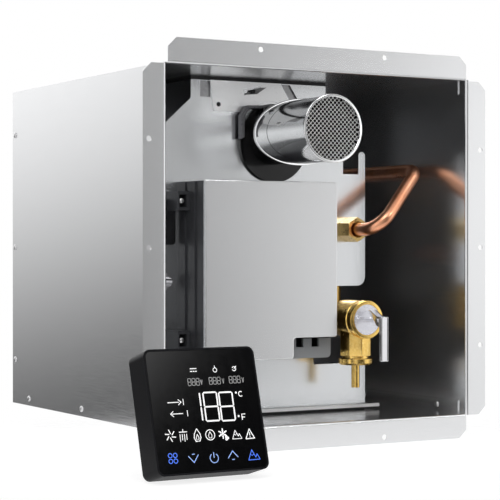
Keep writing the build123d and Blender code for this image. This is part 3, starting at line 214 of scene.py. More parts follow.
# %% Floor finish
FADE_MIDDLE, FADE_START, FADE_END = (0.05, -0.03, 0.183), 0.20, 0.38
floor_material = bpy.data.materials.new("floor")
floor_material.use_nodes = True
ground = floor_material.node_tree
ground.nodes.clear()
where = add_node(ground, "ShaderNodeTexCoord", {}).outputs["Object"]
middle = add_node(ground, "ShaderNodeMapping", {"Vector": where, "Location": FADE_MIDDLE})
reach = add_node(ground, "ShaderNodeVectorMath", {0: middle}, operation="LENGTH")
span = {"Value": reach.outputs["Value"], "From Min": FADE_START, "From Max": FADE_END}
fade = add_node(ground, "ShaderNodeMapRange", span, smooth=True)
glow = add_node(ground, "ShaderNodeEmission", {"Strength": 0.8})
lit = add_node(ground, "ShaderNodeBsdfDiffuse", {"Color": EVEN_GREY})
both = add_node(ground, "ShaderNodeAddShader", {0: glow, 1: lit})
ray = add_node(ground, "ShaderNodeLightPath", {}).outputs
direct = add_node(ground, "ShaderNodeMath", {0: ray["Is Camera Ray"], 1: ray["Is Glossy Ray"]})
seen = add_node(ground, "ShaderNodeMath", {0: direct, 1: ray["Is Transmission Ray"]})
shown = add_node(ground, "ShaderNodeMixShader", {"Fac": seen, 1: lit, 2: both})
clear = add_node(ground, "ShaderNodeBsdfTransparent", {})
rim = add_node(ground, "ShaderNodeMixShader", {"Fac": fade, 1: shown, 2: clear})
add_node(ground, "ShaderNodeOutputMaterial", {"Surface": rim})
floor_mesh.materials.append(floor_material)
print("floor nodes", len(ground.nodes))


# %% [markdown]
# ## Finishes
# Each finish starts as one Principled shader. Noise on the piece's own coordinates then varies its tone
# and roughness a little and gives it a fine relief, because even clean sheet metal is never quite even.

# %% Helpers for finishes
NOISE_LOW, NOISE_HIGH = 0.3, 0.7


def finish(name, colour, metallic, roughness):
    """A material whose shader is set, ready for the variation that follows."""
    material = bpy.data.materials.new(name)
    material.use_nodes = True
    shader = material.node_tree.nodes["Principled BSDF"]
    shader.inputs["Base Color"].default_value = (*colour, 1)
    shader.inputs["Metallic"].default_value = metallic
    shader.inputs["Roughness"].default_value = roughness
    return material, shader


def grain(material, scale, stretch=(1, 1, 1), detail=3):
    """Noise on the piece's own coordinates, in cells per metre, drawn out by the stretch."""
    tree = material.node_tree
    place = add_node(tree, "ShaderNodeTexCoord", {}).outputs["Object"]
    drawn = add_node(tree, "ShaderNodeMapping", {"Vector": place, "Scale": stretch})
    return add_node(tree, "ShaderNodeTexNoise", {"Vector": drawn, "Scale": scale, "Detail": detail})


def tone(shader, value, dark, light):
    """Spread the base colour between two colours over the noise's usual range."""
    ramp = add_node(shader.id_data, "ShaderNodeValToRGB", {"Fac": value})
    for stop, place, colour in zip(ramp.color_ramp.elements, (NOISE_LOW, NOISE_HIGH), (dark, light)):
        stop.position = place
        stop.color = (*colour, 1)
    shader.id_data.links.new(ramp.outputs["Color"], shader.inputs["Base Color"])


def rough(shader, value, low, high):
    """Spread the roughness between two levels over the noise's usual range."""
    fit = add_node(shader.id_data, "ShaderNodeMapRange", {
        "Value": value, "From Min": NOISE_LOW, "From Max": NOISE_HIGH, "To Min": low, "To Max": high,
    })
    shader.id_data.links.new(fit.outputs["Result"], shader.inputs["Roughness"])


def relief(shader, value, depth):
    """A fine relief of a real depth, in metres."""
    bump = add_node(shader.id_data, "ShaderNodeBump", {"Height": value, "Distance": depth})
    shader.id_data.links.new(bump.outputs["Normal"], shader.inputs["Normal"])


def plain_finish(name, colour, metallic, roughness, scale, spread, depth, stretch=(1, 1, 1)):
    """A finish with a slight spread of tone and roughness and a fine relief, all from one noise."""
    material, shader = finish(name, colour, metallic, roughness)
    value = grain(material, scale, stretch)
    darker = tuple(c * (1 - spread) for c in colour)
    lighter = tuple(min(1.0, c * (1 + spread / 2)) for c in colour)
    tone(shader, value, darker, lighter)
    rough(shader, value, roughness * 0.85, roughness * 1.15)
    relief(shader, value, depth)
    return material


# %% [markdown]
# ## Sheet metal
# The case is zinc-coated steel, rolled along its depth, so its grain is drawn out that way. The front plate
# is smoother stainless sheet, rolled upwards. The grain is stretched noise, a fraction of a millimetre wide.
# The bracket is paler sheet whose grain is shallower and runs no way.

# %% Sheet metals
# Colour, metallic, roughness, noise cells per metre, spread of tone, relief in metres.
FINE_GRAIN = (1400, 0.01, 1.5e-7)
case_steel = plain_finish("galvanised_steel", (0.76, 0.765, 0.775), 0.95, 0.22, *FINE_GRAIN, (1, 0.03, 1))
plate_steel = plain_finish("plate_steel", (0.82, 0.835, 0.85), 1.0, 0.22, *FINE_GRAIN, (1, 1, 0.03))
bracket_steel = plain_finish("bracket_steel", (0.98, 0.985, 0.99), 0.8, 0.32, 1400, 0.01, 5e-8)
dark_steel = plain_finish("dark_steel", (0.42, 0.42, 0.43), 1.0, 0.38, 300, 0.15, 1e-5)
strip_steel = plain_finish("strip_steel", (0.17, 0.17, 0.18), 1.0, 0.3, 600, 0.15, 4e-6)
tray_white = plain_finish("tray_white", (0.86, 0.86, 0.86), 0.0, 0.35, 500, 0.04, 8e-6)
rivet_metal = plain_finish("rivet_aluminium", (0.72, 0.72, 0.73), 1.0, 0.35, 1500, 0.1, 1e-5)
print("sheet metals made")

# %% [markdown]
# ## Copper, brass and chrome
# The hot water tube is bare drawn copper with a little brown bloom on it. The nut and relief valve are
# turned brass, and the exhaust outlet is polished, so it is nearly a mirror.

# %% Copper, brass and chrome
copper, copper_shader = finish("copper", (0.90, 0.42, 0.24), 1.0, 0.32)
bloom = grain(copper, 60, detail=5)
tone(copper_shader, bloom, (0.80, 0.32, 0.16), (0.93, 0.48, 0.30))
rough(copper_shader, bloom, 0.26, 0.36)
relief(copper_shader, grain(copper, 900), 1e-5)

brass, brass_shader = finish("brass", (0.80, 0.54, 0.15), 1.0, 0.2)
cast = grain(brass, 400, detail=4)
tone(brass_shader, cast, (0.71, 0.45, 0.11), (0.84, 0.59, 0.20))
rough(brass_shader, cast, 0.16, 0.28)
relief(brass_shader, cast, 2e-5)
nut_brass = plain_finish("nut_brass", (0.64, 0.45, 0.17), 1.0, 0.3, 400, 0.12, 1e-5)

chrome = plain_finish("chrome_pipe", (0.88, 0.885, 0.89), 1.0, 0.07, 250, 0.02, 3e-7)
wire_steel = plain_finish("screen_wire", (0.80, 0.80, 0.79), 1.0, 0.32, 2000, 0.1, 1e-5)
bright_steel = plain_finish("bright_steel", (0.80, 0.80, 0.82), 1.0, 0.14, 800, 0.06, 5e-6)
screw_steel = plain_finish("screw_steel", (0.86, 0.86, 0.85), 0.9, 0.3, 1500, 0.06, 1e-5)
disc_metal = plain_finish("valve_disc", (0.80, 0.80, 0.86), 1.0, 0.28, 900, 0.06, 6e-6)
spring_steel = plain_finish("spring_steel", (0.66, 0.66, 0.67), 1.0, 0.25, 1200, 0.1, 1e-5)
cast_aluminium = plain_finish("valve_aluminium", (0.66, 0.67, 0.68), 1.0, 0.45, 700, 0.12, 6e-5)
print("bright metals made")

# %% [markdown]
# ## Plastics, rubber and glass
# Moulded plastic has a fine even texture from its mould, rubber is dull, and the controller's front is
# black glass with a clear, slightly soft reflection.

# %% Plastics, rubber and glass
base_plastic = plain_finish("box_base_plastic", (0.06, 0.062, 0.068), 0.0, 0.36, 1400, 0.2, 3e-5)
cover_plastic = plain_finish("box_cover_plastic", (0.78, 0.785, 0.795), 0.9, 0.22, 1600, 0.015, 1e-7)
socket_plastic = plain_finish("socket_plastic", (0.36, 0.37, 0.38), 0.0, 0.45, 1400, 0.1, 3e-5)
coil_plastic = plain_finish("coil_black", (0.03, 0.03, 0.034), 0.0, 0.5, 1000, 0.2, 4e-5)
sensor_plastic = plain_finish("sensor_plastic", (0.05, 0.05, 0.055), 0.0, 0.45, 1000, 0.2, 4e-5)
turbine_plastic = plain_finish("turbine_plastic", (0.80, 0.81, 0.82), 0.0, 0.4, 800, 0.06, 2e-5)
ceramic = plain_finish("electrode_ceramic", (0.86, 0.85, 0.80), 0.0, 0.5, 900, 0.06, 3e-5)
rubber = plain_finish("seal_rubber", (0.012, 0.012, 0.013), 0.0, 0.6, 1200, 0.2, 5e-5)
black_gloss = plain_finish("black_gloss", (0.012, 0.012, 0.013), 0.0, 0.16, 300, 0.2, 1e-5)
board_mask = plain_finish("board_green", (0.03, 0.13, 0.06), 0.0, 0.35, 700, 0.2, 2e-5)
pad_shell = plain_finish("controller_shell", (0.008, 0.008, 0.010), 0.0, 0.42, 1500, 0.15, 2e-5)
pad_glass = plain_finish("controller_glass", (0.0015, 0.0015, 0.002), 0.0, 0.1, 200, 0.1, 1e-6)
pad_shell.node_tree.nodes["Principled BSDF"].inputs["Specular IOR Level"].default_value = 0.07
pad_glass.node_tree.nodes["Principled BSDF"].inputs["Specular IOR Level"].default_value = 0.12
print("other finishes made")

# %% [markdown]
# ## Dress the solids
# Every solid keeps its shape and gets its finish. A table of finish and solids keeps them in one place.

# %% Finish of every solid
finishes = (
    (case_steel, "case_left_side case_right_side case_top case_bottom case_back"),
    (rivet_metal, "case_rivets"),
    (rubber, "chassis_seal cable_grommet"),
    (tray_white, "chassis_base"),
    (plate_steel, "chassis_front_plate combustion_housing"),
    (bracket_steel, "upper_bracket"),
    (dark_steel, "burner_box burner_bars flue_hood fan_housing fan_impeller"),
    (copper, "heat_exchanger_shell heat_exchanger_fins heat_exchanger_coil cold_water_tube hot_water_tube"),
    (brass, "drain_tee hot_water_manifold outlet_nut relief_valve_body gas_inlet_fitting"
            " water_inlet_fitting water_outlet_fitting relief_outlet_tube"),
    (chrome, "exhaust_pipe"),
    (wire_steel, "exhaust_screen"),
    (black_gloss, "flue_neck flue_collar"),
    (cast_aluminium, "gas_valve_body gas_manifold gas_pipe"),
    (coil_plastic, "solenoid_coils fan_motor overheat_cutout"),
    (bright_steel, "clip_screws drain_plug relief_lever relief_stem relief_pivot_pin solenoid_plunger"),
    (spring_steel, "plunger_spring"),
    (ceramic, "burner_electrodes"),
    (disc_metal, "relief_valve_disc"),
    (base_plastic, "control_box_base"),
    (cover_plastic, "control_box_cover"),
    (socket_plastic, "connector_plate"),
    (board_mask, "control_board controller_display"),
    (sensor_plastic, "flow_sensor_housing"),
    (turbine_plastic, "flow_turbine"),
    (pad_shell, "controller_front_frame controller_rear_shell"),
    (pad_glass, "controller_glass"),
)
dressed = set()
for material, names in finishes:
    for name in names.split():
        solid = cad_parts[name]
        solid.data.materials.clear()
        solid.data.materials.append(material)
        dressed.add(name)
print("dressed", len(dressed), "left plain", sorted(set(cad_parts) - dressed))


# %% [markdown]
# ## Helpers for new pieces
# New pieces are worked out in millimetres, as the drawing is, and made metres when they are finished.
# Most round pieces are a profile spun round an axis, most bent ones a ring carried along a path, and the
# flat ones an outline pushed back.

# %% Places and finished pieces
def box_mm(node):
    """The low and high corners of a solid's box, in millimetres."""
    return [corner * 1000 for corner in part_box(node)]


def finish_piece(bm, name, material, slot, *replaced, body="heater", sharp=35):
    """Make a mesh in millimetres a finished piece on its body."""
    bmesh.ops.remove_doubles(bm, verts=bm.verts, dist=0.0005)
    bmesh.ops.recalc_face_normals(bm, faces=bm.faces)
    bmesh.ops.scale(bm, vec=(0.001, 0.001, 0.001), verts=bm.verts)
    mesh = bpy.data.meshes.new(name)
    bm.to_mesh(mesh)
    bm.free()
    mesh.shade_smooth()
    mesh.set_sharp_from_angle(angle=radians(sharp))
    mesh.materials.append(material)
    piece = bpy.data.objects.new(name, mesh)
    bpy.context.scene.collection.objects.link(piece)
    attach(piece, body)
    if replaced:
        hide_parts(*replaced)
    print(name, "faces", len(mesh.polygons))
    return piece


def turned(bm, profile, centre, axis, steps=64, closed=False):
    """Spin a profile of (radius, place along the axis) pairs round an axis through a centre."""
    axis = Vector(axis).normalized()
    side = axis.orthogonal().normalized()
    centre = Vector(centre)
    verts = [bm.verts.new(centre + axis * along + side * radius) for radius, along in profile]
    edges = [bm.edges.new(pair) for pair in zip(verts, verts[1:])]
    if closed:
        edges.append(bm.edges.new((verts[-1], verts[0])))
    bmesh.ops.spin(bm, geom=verts + edges, cent=centre, axis=axis, angle=2 * pi, steps=steps, use_merge=True)


def rounded_route(corners, radius, steps):
    """The path through the corners, with each inner corner rounded to one radius."""
    corners = [Vector(c) for c in corners]
    points = [corners[0]]
    for before, corner, after in zip(corners, corners[1:], corners[2:]):
        back = (before - corner).normalized()
        ahead = (after - corner).normalized()
        half = back.angle(ahead) / 2
        centre = corner + (back + ahead).normalized() * radius / sin(half)
        start = corner + back * radius / tan(half) - centre
        axis = start.cross(corner + ahead * radius / tan(half) - centre)
        for n in range(steps + 1):
            points.append(centre + Quaternion(axis, (pi - 2 * half) * n / steps) @ start)
    points.append(corners[-1])
    return points


def swept(bm, points, radius, sides):
    """Carry a ring along the points, turning it with the path, and close both ends."""
    heading = (points[1] - points[0]).normalized()
    turn = heading.to_track_quat("Z", "Y").to_matrix().to_4x4()
    ring = bmesh.ops.create_circle(
        bm, segments=sides, radius=radius, matrix=Matrix.Translation(points[0]) @ turn,
    )["verts"]
    edges = list({e for v in ring for e in v.link_edges})
    bmesh.ops.edgeloop_fill(bm, edges=edges)
    for n in range(1, len(points)):
        made = bmesh.ops.extrude_edge_only(bm, edges=edges)["geom"]
        verts = [g for g in made if isinstance(g, bmesh.types.BMVert)]
        edges = [g for g in made if isinstance(g, bmesh.types.BMEdge) and all(v in verts for v in g.verts)]
        bmesh.ops.translate(bm, verts=verts, vec=points[n] - points[n - 1])
        after = (points[min(n + 1, len(points) - 1)] - points[n - 1]).normalized()
        turn = heading.rotation_difference(after).to_matrix()
        bmesh.ops.rotate(bm, verts=verts, cent=points[n], matrix=turn)
        heading = after
    bmesh.ops.edgeloop_fill(bm, edges=edges)


# %% Flat shapes and bands
def push(bm, faces, by):
    """Push a copy of flat faces away and close the sides, which makes them solid."""
    made = bmesh.ops.extrude_face_region(bm, geom=faces)["geom"]
    bmesh.ops.translate(bm, verts=[g for g in made if isinstance(g, bmesh.types.BMVert)], vec=by)


def round_off(bm, geom, offset, segments, affect="EDGES"):
    """Round edges, or the corners of a flat shape, in small steps."""
    bmesh.ops.bevel(
        bm, geom=geom, offset=offset, segments=segments, affect=affect, offset_type="OFFSET", profile=0.5,
        material=-1,
    )


def slab(bm, outline, front, back, corner=0.0, edge=0.0):
    """A flat shape of (x, z) corners in the front plane, pushed back, with rounded corners and front edge."""
    before = set(bm.faces)
    corners = [bm.verts.new((x, front, z)) for x, z in outline]
    bm.faces.new(corners)
    if corner:
        round_off(bm, corners, corner, 6, "VERTICES")
    push(bm, [f for f in bm.faces if f not in before], (0, back - front, 0))
    if edge:
        rim = [e for f in bm.faces if f not in before for e in f.edges
               if all(abs(v.co.y - front) < 0.001 for v in e.verts)]
        round_off(bm, list(set(rim)), edge, 4)
        made = [f for f in bm.faces if f not in before]
        flat = max(made, key=lambda f: (-f.calc_center_median().y, f.calc_area()))
        bmesh.ops.inset_region(bm, faces=[flat], thickness=0.3, depth=0)


def bridge_rings(bm, low, high):
    """Join two rings of corners with a band of faces."""
    edges = {e for v in low + high for e in v.link_edges}
    loops = [e for e in edges if all(v in low for v in e.verts) or all(v in high for v in e.verts)]
    bmesh.ops.bridge_loops(bm, edges=loops)


# %% [markdown]
# ## Exhaust outlet
# The bright pipe is a short tube with a rolled rim, cut off at a slant where it sleeves over the black
# neck. A closed profile spun round the pipe's axis gives the wall and rim at once, and a plane cuts it.

# %% Places of the outlet
FLUE_X, FLUE_Z = -2.7, 107.5
FLUE_R, FLUE_WALL, FLUE_BACK = 30.0, 1.2, 80.0
OUTLET_Y = -20.0
RIM_BEAD, RIM_ROUND = 1.2, 0.6
BEAD_LENGTH, SEAM_AT, SEAM_WIDTH = 1.5, 15.0, 0.5
BAND_FRONT, BAND_BACK = -17, 90
SLANT_AT = Vector((FLUE_X, 37, FLUE_Z))
SLANT_OUT = Vector((33, 30, 0)).normalized()
AXIS_POINT = (FLUE_X, 0, FLUE_Z)
pipe_low, pipe_high = box_mm("exhaust_pipe")
print("pipe box mm", [round(v, 1) for v in (*pipe_low, *pipe_high)])


# %% Pipe with its rolled rim
def cut(bm, place, out, outer=True):
    """Cut everything along a plane and clear what lies outside it, or inside."""
    bmesh.ops.bisect_plane(
        bm, geom=bm.verts[:] + bm.edges[:] + bm.faces[:], plane_co=place, plane_no=out,
        clear_outer=outer, clear_inner=not outer,
    )


bm = bmesh.new()
rim_r, bore_r = FLUE_R + RIM_BEAD, FLUE_R - FLUE_WALL
shoulder = [
    (rim_r - RIM_ROUND + RIM_ROUND * sin(a), OUTLET_Y + RIM_ROUND - RIM_ROUND * cos(a))
    for a in [radians(d) for d in range(0, 91, 18)]
]
profile = [(bore_r, FLUE_BACK), (bore_r, OUTLET_Y + 0.3), (bore_r + 0.3, OUTLET_Y)] + shoulder + [
    (rim_r, OUTLET_Y + 1.8), (rim_r - 0.5, OUTLET_Y + 2.4), (FLUE_R, OUTLET_Y + 2.6), (FLUE_R, FLUE_BACK),
]
turned(bm, profile, AXIS_POINT, (0, 1, 0), 96)
cut(bm, SLANT_AT, SLANT_OUT)
bmesh.ops.bridge_loops(bm, edges=[e for e in bm.edges if e.is_boundary])
finish_piece(bm, "outlet_pipe", chrome, "chrome_pipe", "exhaust_pipe", sharp=30)


# %% [markdown]
# The pipe's joint lies at a slant too. A band of the same spun tube between two slanted planes makes the
# bead at its end, and a very narrow one the dark line of the seam in front of it.

# %% Slanted bead and seam
def slanted_band(outer, near, far):
    """A ring round the pipe between two slanted planes, each given by its distance in front of the joint."""
    bm = bmesh.new()
    inner = FLUE_R - 0.2
    profile = [(inner, BAND_FRONT), (outer, BAND_FRONT), (outer, BAND_BACK), (inner, BAND_BACK)]
    turned(bm, profile, AXIS_POINT, (0, 1, 0), 96, closed=True)
    cut(bm, SLANT_AT - SLANT_OUT * near, SLANT_OUT)
    cut(bm, SLANT_AT - SLANT_OUT * far, SLANT_OUT, outer=False)
    open_edges = [e for e in bm.edges if e.is_boundary]
    middle = -(near + far) / 2
    front_edges = [e for e in open_edges if (e.verts[0].co - SLANT_AT).dot(SLANT_OUT) < middle]
    back_edges = [e for e in open_edges if e not in front_edges]
    for loops in (front_edges, back_edges):
        bmesh.ops.bridge_loops(bm, edges=loops)
    return bm


bm = slanted_band(FLUE_R + RIM_BEAD, 0, BEAD_LENGTH)
outer_corners = [
    e for e in bm.edges if len(e.link_faces) == 2 and e.calc_face_angle(0) > radians(25)
    and all(Vector((v.co.x - FLUE_X, v.co.z - FLUE_Z)).length > FLUE_R + 0.5 for v in e.verts)
]
round_off(bm, outer_corners, 0.5, 3)
finish_piece(bm, "outlet_bead", chrome, "chrome_pipe", sharp=40)
bm = slanted_band(FLUE_R + 0.05, SEAM_AT, SEAM_AT + SEAM_WIDTH)
finish_piece(bm, "outlet_seam", rubber, "seal_rubber")

# %% [markdown]
# ## Collar
# A thin black disc closes the gap between the neck and the plate. Its bore is higher than its middle, so
# rings round two centres are joined up. A bent strip of dull steel holds it at the upper left.

# %% Collar disc
COLLAR_X, COLLAR_Z, COLLAR_R = -2.2, 99.5, 37.5
COLLAR_FRONT, COLLAR_BACK, BORE_R = 85.0, 88.0, 28.5
COVER_GAP = 0.5
bm = bmesh.new()
rings = []
for radius, x, y, z in (
    (BORE_R, FLUE_X, COLLAR_BACK, FLUE_Z), (COLLAR_R, COLLAR_X, COLLAR_BACK, COLLAR_Z),
    (COLLAR_R, COLLAR_X, COLLAR_FRONT + 0.4, COLLAR_Z), (COLLAR_R - 0.4, COLLAR_X, COLLAR_FRONT, COLLAR_Z),
    (BORE_R, FLUE_X, COLLAR_FRONT, FLUE_Z),
):
    stand = Matrix.Translation((x, y, z)) @ Matrix.Rotation(radians(90), 4, "X")
    rings.append(bmesh.ops.create_circle(bm, segments=96, radius=radius, matrix=stand)["verts"])
for low, high in zip(rings, rings[1:] + rings[:1]):
    bridge_rings(bm, low, high)
cover_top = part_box("control_box_cover")[1].z * 1000 + COVER_GAP
cut(bm, (0, 0, cover_top), (0, 0, -1))
bmesh.ops.holes_fill(bm, edges=[e for e in bm.edges if e.is_boundary], sides=0)
finish_piece(bm, "collar_disc", black_gloss, "black_gloss", "flue_collar", sharp=30)

# %% Strip that holds the collar
STRIP_FRONT = 78.5
STRIP = [(-41.6, 102.3), (-41.6, 124.4), (-34.4, 134.1), (-10.0, 135.0), (-10.0, 131.6), (-33.4, 131.2),
         (-38.2, 123.6), (-38.2, 104.0)]
bm = bmesh.new()
slab(bm, STRIP, STRIP_FRONT, COLLAR_FRONT, 0, 0.4)
finish_piece(bm, "collar_strip", strip_steel, "dark_steel", sharp=30)

# %% [markdown]
# ## Louvre and shield
# A small tongue is bent out of the bracket. The dark opening it leaves is painted shade: a thin black sheet
# just in front of the bracket. Behind the openings at the plate's top a strip of dull sheet shields the fan.

# %% Louvre tongue, painted shade of its opening, and shield strip
BRACKET_FRONT, TONGUE_T = 86.8, 0.4
# Front and back of the black sheet that paints the shade in the louvre's opening.
SHADE_SHEET_FRONT, SHADE_SHEET_BACK = BRACKET_FRONT - 2.4, BRACKET_FRONT - 0.2
SHIELD_FRONT, SHIELD_BACK = 89.7, 90.4
bm = bmesh.new()
tongue = [(-35.2, -0.1, 144.6), (-20.2, -0.1, 145.8), (-11.3, -2.6, 152.2), (-18.8, -2.6, 151.8)]
bm.faces.new([bm.verts.new((x, BRACKET_FRONT + lift, z)) for x, lift, z in tongue])
push(bm, bm.faces[:], (0, TONGUE_T, 0))
finish_piece(bm, "louvre_tongue", dark_steel, "dark_steel", sharp=30)
# Painted shade: a black sheet stands for the shade in the opening under the tongue.
bm = bmesh.new()
slab(bm, [(-27.7, 146.0), (-27.7, 149.4), (-23.4, 150.0), (-23.4, 146.6)], SHADE_SHEET_FRONT, SHADE_SHEET_BACK)
finish_piece(bm, "louvre_painted_shade", rubber, "seal_rubber", sharp=30)
bm = bmesh.new()
slab(bm, [(-87.5, 139.0), (-87.5, 155.8), (56.5, 155.8), (56.5, 139.0)], SHIELD_FRONT, SHIELD_BACK)
finish_piece(bm, "shield_strip", dark_steel, "dark_steel", sharp=30)

# %% [markdown]
# ## Control box cover
# The pale cover is a flat moulded panel over a darker rim. A line of light runs round its rounded front
# edge, so that edge is beveled in small steps.

# %% Control box cover
cover_low, cover_high = box_mm("control_box_cover")
NOTCH_W, NOTCH_H = 48.0, 19.5
PANEL_T, PANEL_CORNER, PANEL_EDGE = 3.2, 3, 0.9
RIM_IN, RIM_CORNER = 0.7, 2.4


def cover_outline(inset):
    """The cover's outline with its notch at the lower right, drawn in by an inset."""
    left, right = cover_low.x + inset, cover_high.x - inset
    low, high = cover_low.z + inset, cover_high.z - inset
    return [
        (left, low), (left, high), (right, high), (right, low + NOTCH_H), (right - NOTCH_W, low + NOTCH_H),
        (right - NOTCH_W, low),
    ]


bm = bmesh.new()
slab(bm, cover_outline(0), cover_low.y, cover_low.y + PANEL_T, PANEL_CORNER, PANEL_EDGE)
finish_piece(bm, "cover_panel", cover_plastic, "box_cover_plastic", "control_box_cover", sharp=50)
bm = bmesh.new()
slab(bm, cover_outline(RIM_IN), cover_low.y + PANEL_T, cover_high.y, RIM_CORNER)
finish_piece(bm, "cover_rim", base_plastic, "box_base_plastic", sharp=50)

# %% [markdown]
# Two screws hold the base by its clips. Their heads stand near the clips' front on long shanks. One more
# dark screw holds the bracket.

# %% Screws
screw_low, screw_high = box_mm("clip_screws")
SCREW_R, HEAD_Y = 2.6, 67.5
bm = bmesh.new()
for z in (screw_low.z + SCREW_R, screw_high.z - SCREW_R):
    head = [(0, HEAD_Y), (1.5, HEAD_Y + 0.1), (2.3, HEAD_Y + 0.7), (2.3, HEAD_Y + 2.2), (1.3, HEAD_Y + 2.2),
            (1.3, screw_high.y), (0, screw_high.y)]
    turned(bm, head, ((screw_low.x + screw_high.x) / 2, 0, z), (0, 1, 0), 32)
finish_piece(bm, "clip_screw_heads", screw_steel, "screw_steel", "clip_screws", sharp=40)
bm = bmesh.new()
turned(bm, [(0, 86.0), (1.2, 86.05), (2.1, 86.5), (2.2, BRACKET_FRONT + 0.1), (0, BRACKET_FRONT + 0.1)],
       (-62.0, 0, 134.5), (0, 1, 0), 32)
finish_piece(bm, "bracket_screw", black_gloss, "black_gloss", sharp=40)

# %% [markdown]
# ## Woven screen
# The outlet is closed by crossed wires, which pass over and under each other. Each wire is a thin ring
# carried along a wavy line, and the second set is the first turned a quarter, with its waves reversed.

# %% Woven screen
SCREEN_PITCH = 3.05
SCREEN_R = FLUE_R - FLUE_WALL - 0.1
WIRE_R, WEAVE = 0.21, 0.24
screen_y = OUTLET_Y + 4.4
bm = bmesh.new()
wires = int(SCREEN_R / SCREEN_PITCH)
for layer in (0, 1):
    across = Vector((cos(radians(45 + 90 * layer)), 0, sin(radians(45 + 90 * layer))))
    along = Vector((-across.z, 0, across.x))
    for n in range(-wires, wires + 1):
        reach = sqrt(SCREEN_R ** 2 - (n * SCREEN_PITCH) ** 2)
        steps = int(reach / SCREEN_PITCH)
        marks = [-reach] + [m * SCREEN_PITCH for m in range(-steps, steps + 1)] + [reach]
        points = []
        for mark in marks:
            wave = WEAVE * cos(pi * (mark / SCREEN_PITCH + n + layer))
            middle = Vector((FLUE_X, screen_y + wave, FLUE_Z))
            points.append(middle + across * n * SCREEN_PITCH + along * mark)
        swept(bm, points, WIRE_R, 6)
finish_piece(bm, "outlet_screen", wire_steel, "screen_wire", "exhaust_screen", sharp=60)

# %% [markdown]
# ## Hot water tube and its nut
# The copper tube leaves the nut, turns up and outwards and then runs back along the right wall. A plain
# round tube on a rounded path is enough, with many sides because its highlight shows every flat.

# %% Hot water tube
NUT_X, NUT_Z = 84.0, 17.5
WALL_X, WALL_Z = 147, 76
TUBE_R, BEND_R = 6.35, 17
corners = [(NUT_X, 83, NUT_Z), (NUT_X, 33, NUT_Z), (WALL_X, 60, WALL_Z), (WALL_X, 322, WALL_Z)]
bm = bmesh.new()
swept(bm, rounded_route(corners, BEND_R, 14), TUBE_R, 40)
finish_piece(bm, "hot_tube", copper, "copper", "hot_water_tube", sharp=60)

# %% [markdown]
# A nut's corners are turned off by a cone, which leaves a curved line on each flat. The ring of the nut
# has many points on a hexagon, and its front ring is the same cut down to the cone's circle.

# %% Helpers for nuts
def hexagon_radius(angle, flats):
    """How far a hexagon reaches at an angle, with a corner at angle 0."""
    within = (angle + pi / 6) % (pi / 3) - pi / 6
    return flats / 2 / cos(pi / 6 - abs(within))


def nut(bm, centre, outward, flats, length, bore_r, rings=72):
    """A hexagonal nut with turned-off corners and a bore, standing out from its centre."""
    turn = Vector(outward).to_track_quat("Z", "X").to_matrix().to_4x4()
    stand = Matrix.Translation(centre) @ turn
    cone_r = flats / 2 * 1.02
    rows = []
    for part in range(4):
        ring = bmesh.ops.create_circle(bm, segments=rings, radius=1)["verts"]
        for n, v in enumerate(ring):
            angle = 2 * pi * n / rings
            full = hexagon_radius(angle, flats)
            fall = max(0, full - cone_r) * 0.6
            radius = min(full, cone_r) if part in (0, 3) else full
            height = (0, fall, length - fall, length)[part]
            v.co = Vector((radius * cos(angle), radius * sin(angle), height))
        rows.append(ring)
    holes = []
    for height in (0, length):
        ring = bmesh.ops.create_circle(bm, segments=rings, radius=bore_r)["verts"]
        bmesh.ops.translate(bm, verts=ring, vec=(0, 0, height))
        holes.append(ring)
    order = rows + [holes[1], holes[0], rows[0]]
    for low, high in zip(order, order[1:]):
        bridge_rings(bm, low, high)
    bmesh.ops.transform(bm, matrix=stand, verts=[v for ring in rows + holes for v in ring])


# %% Brass nut
NUT_BACK, NUT_FLATS, NUT_LENGTH, NUT_BORE_R = 87.7, 21, 17.7, 8.06
SLEEVE_Y, SLEEVE_LENGTH, SLEEVE_R, SLEEVE_BORE_R = 78.5, 5, 8.2, 6.45
bm = bmesh.new()
nut(bm, (NUT_X, NUT_BACK, NUT_Z), (0, -1, 0), NUT_FLATS, NUT_LENGTH, NUT_BORE_R)
sleeve = [(SLEEVE_BORE_R, 0), (SLEEVE_R, 0), (SLEEVE_R, SLEEVE_LENGTH), (SLEEVE_BORE_R, SLEEVE_LENGTH)]
turned(bm, sleeve, (NUT_X, SLEEVE_Y, NUT_Z), (0, 1, 0), 48, closed=True)
finish_piece(bm, "tube_nut", nut_brass, "brass", "outlet_nut", sharp=20)

# %% [markdown]
# ## Relief valve
# A turned brass body lies along Y behind its silver disc. From it an eight-sided spout hangs down to a
# ring for the drain hose. The body and ring are spun, and the spout is a cone of eight sides.

# %% Relief valve body
VALVE_X, VALVE_Z = 67.7, -68.6
VALVE_AT = (VALVE_X, 0, VALVE_Z)
BODY = [(14.6, 31.2), (14.6, 30.0), (17.3, 30.0), (18.1, 30.3), (18.4, 31.2), (18.4, 34.2), (17.7, 35.0),
        (17.7, 38.5), (18.4, 39.3), (18.4, 66.0), (17.2, 68.0), (16.4, 75.0), (10.5, 75.0), (10.5, 95.2),
        (0, 95.2)]
bm = bmesh.new()
turned(bm, BODY, VALVE_AT, (0, 1, 0), 72)
turned(bm, [(2.4, 31.2), (2.4, 44.0), (0, 44.0)], VALVE_AT, (0, 1, 0), 24)
turned(bm, [(2.4, 31.2), (14.6, 31.2)], VALVE_AT, (0, 1, 0), 72)

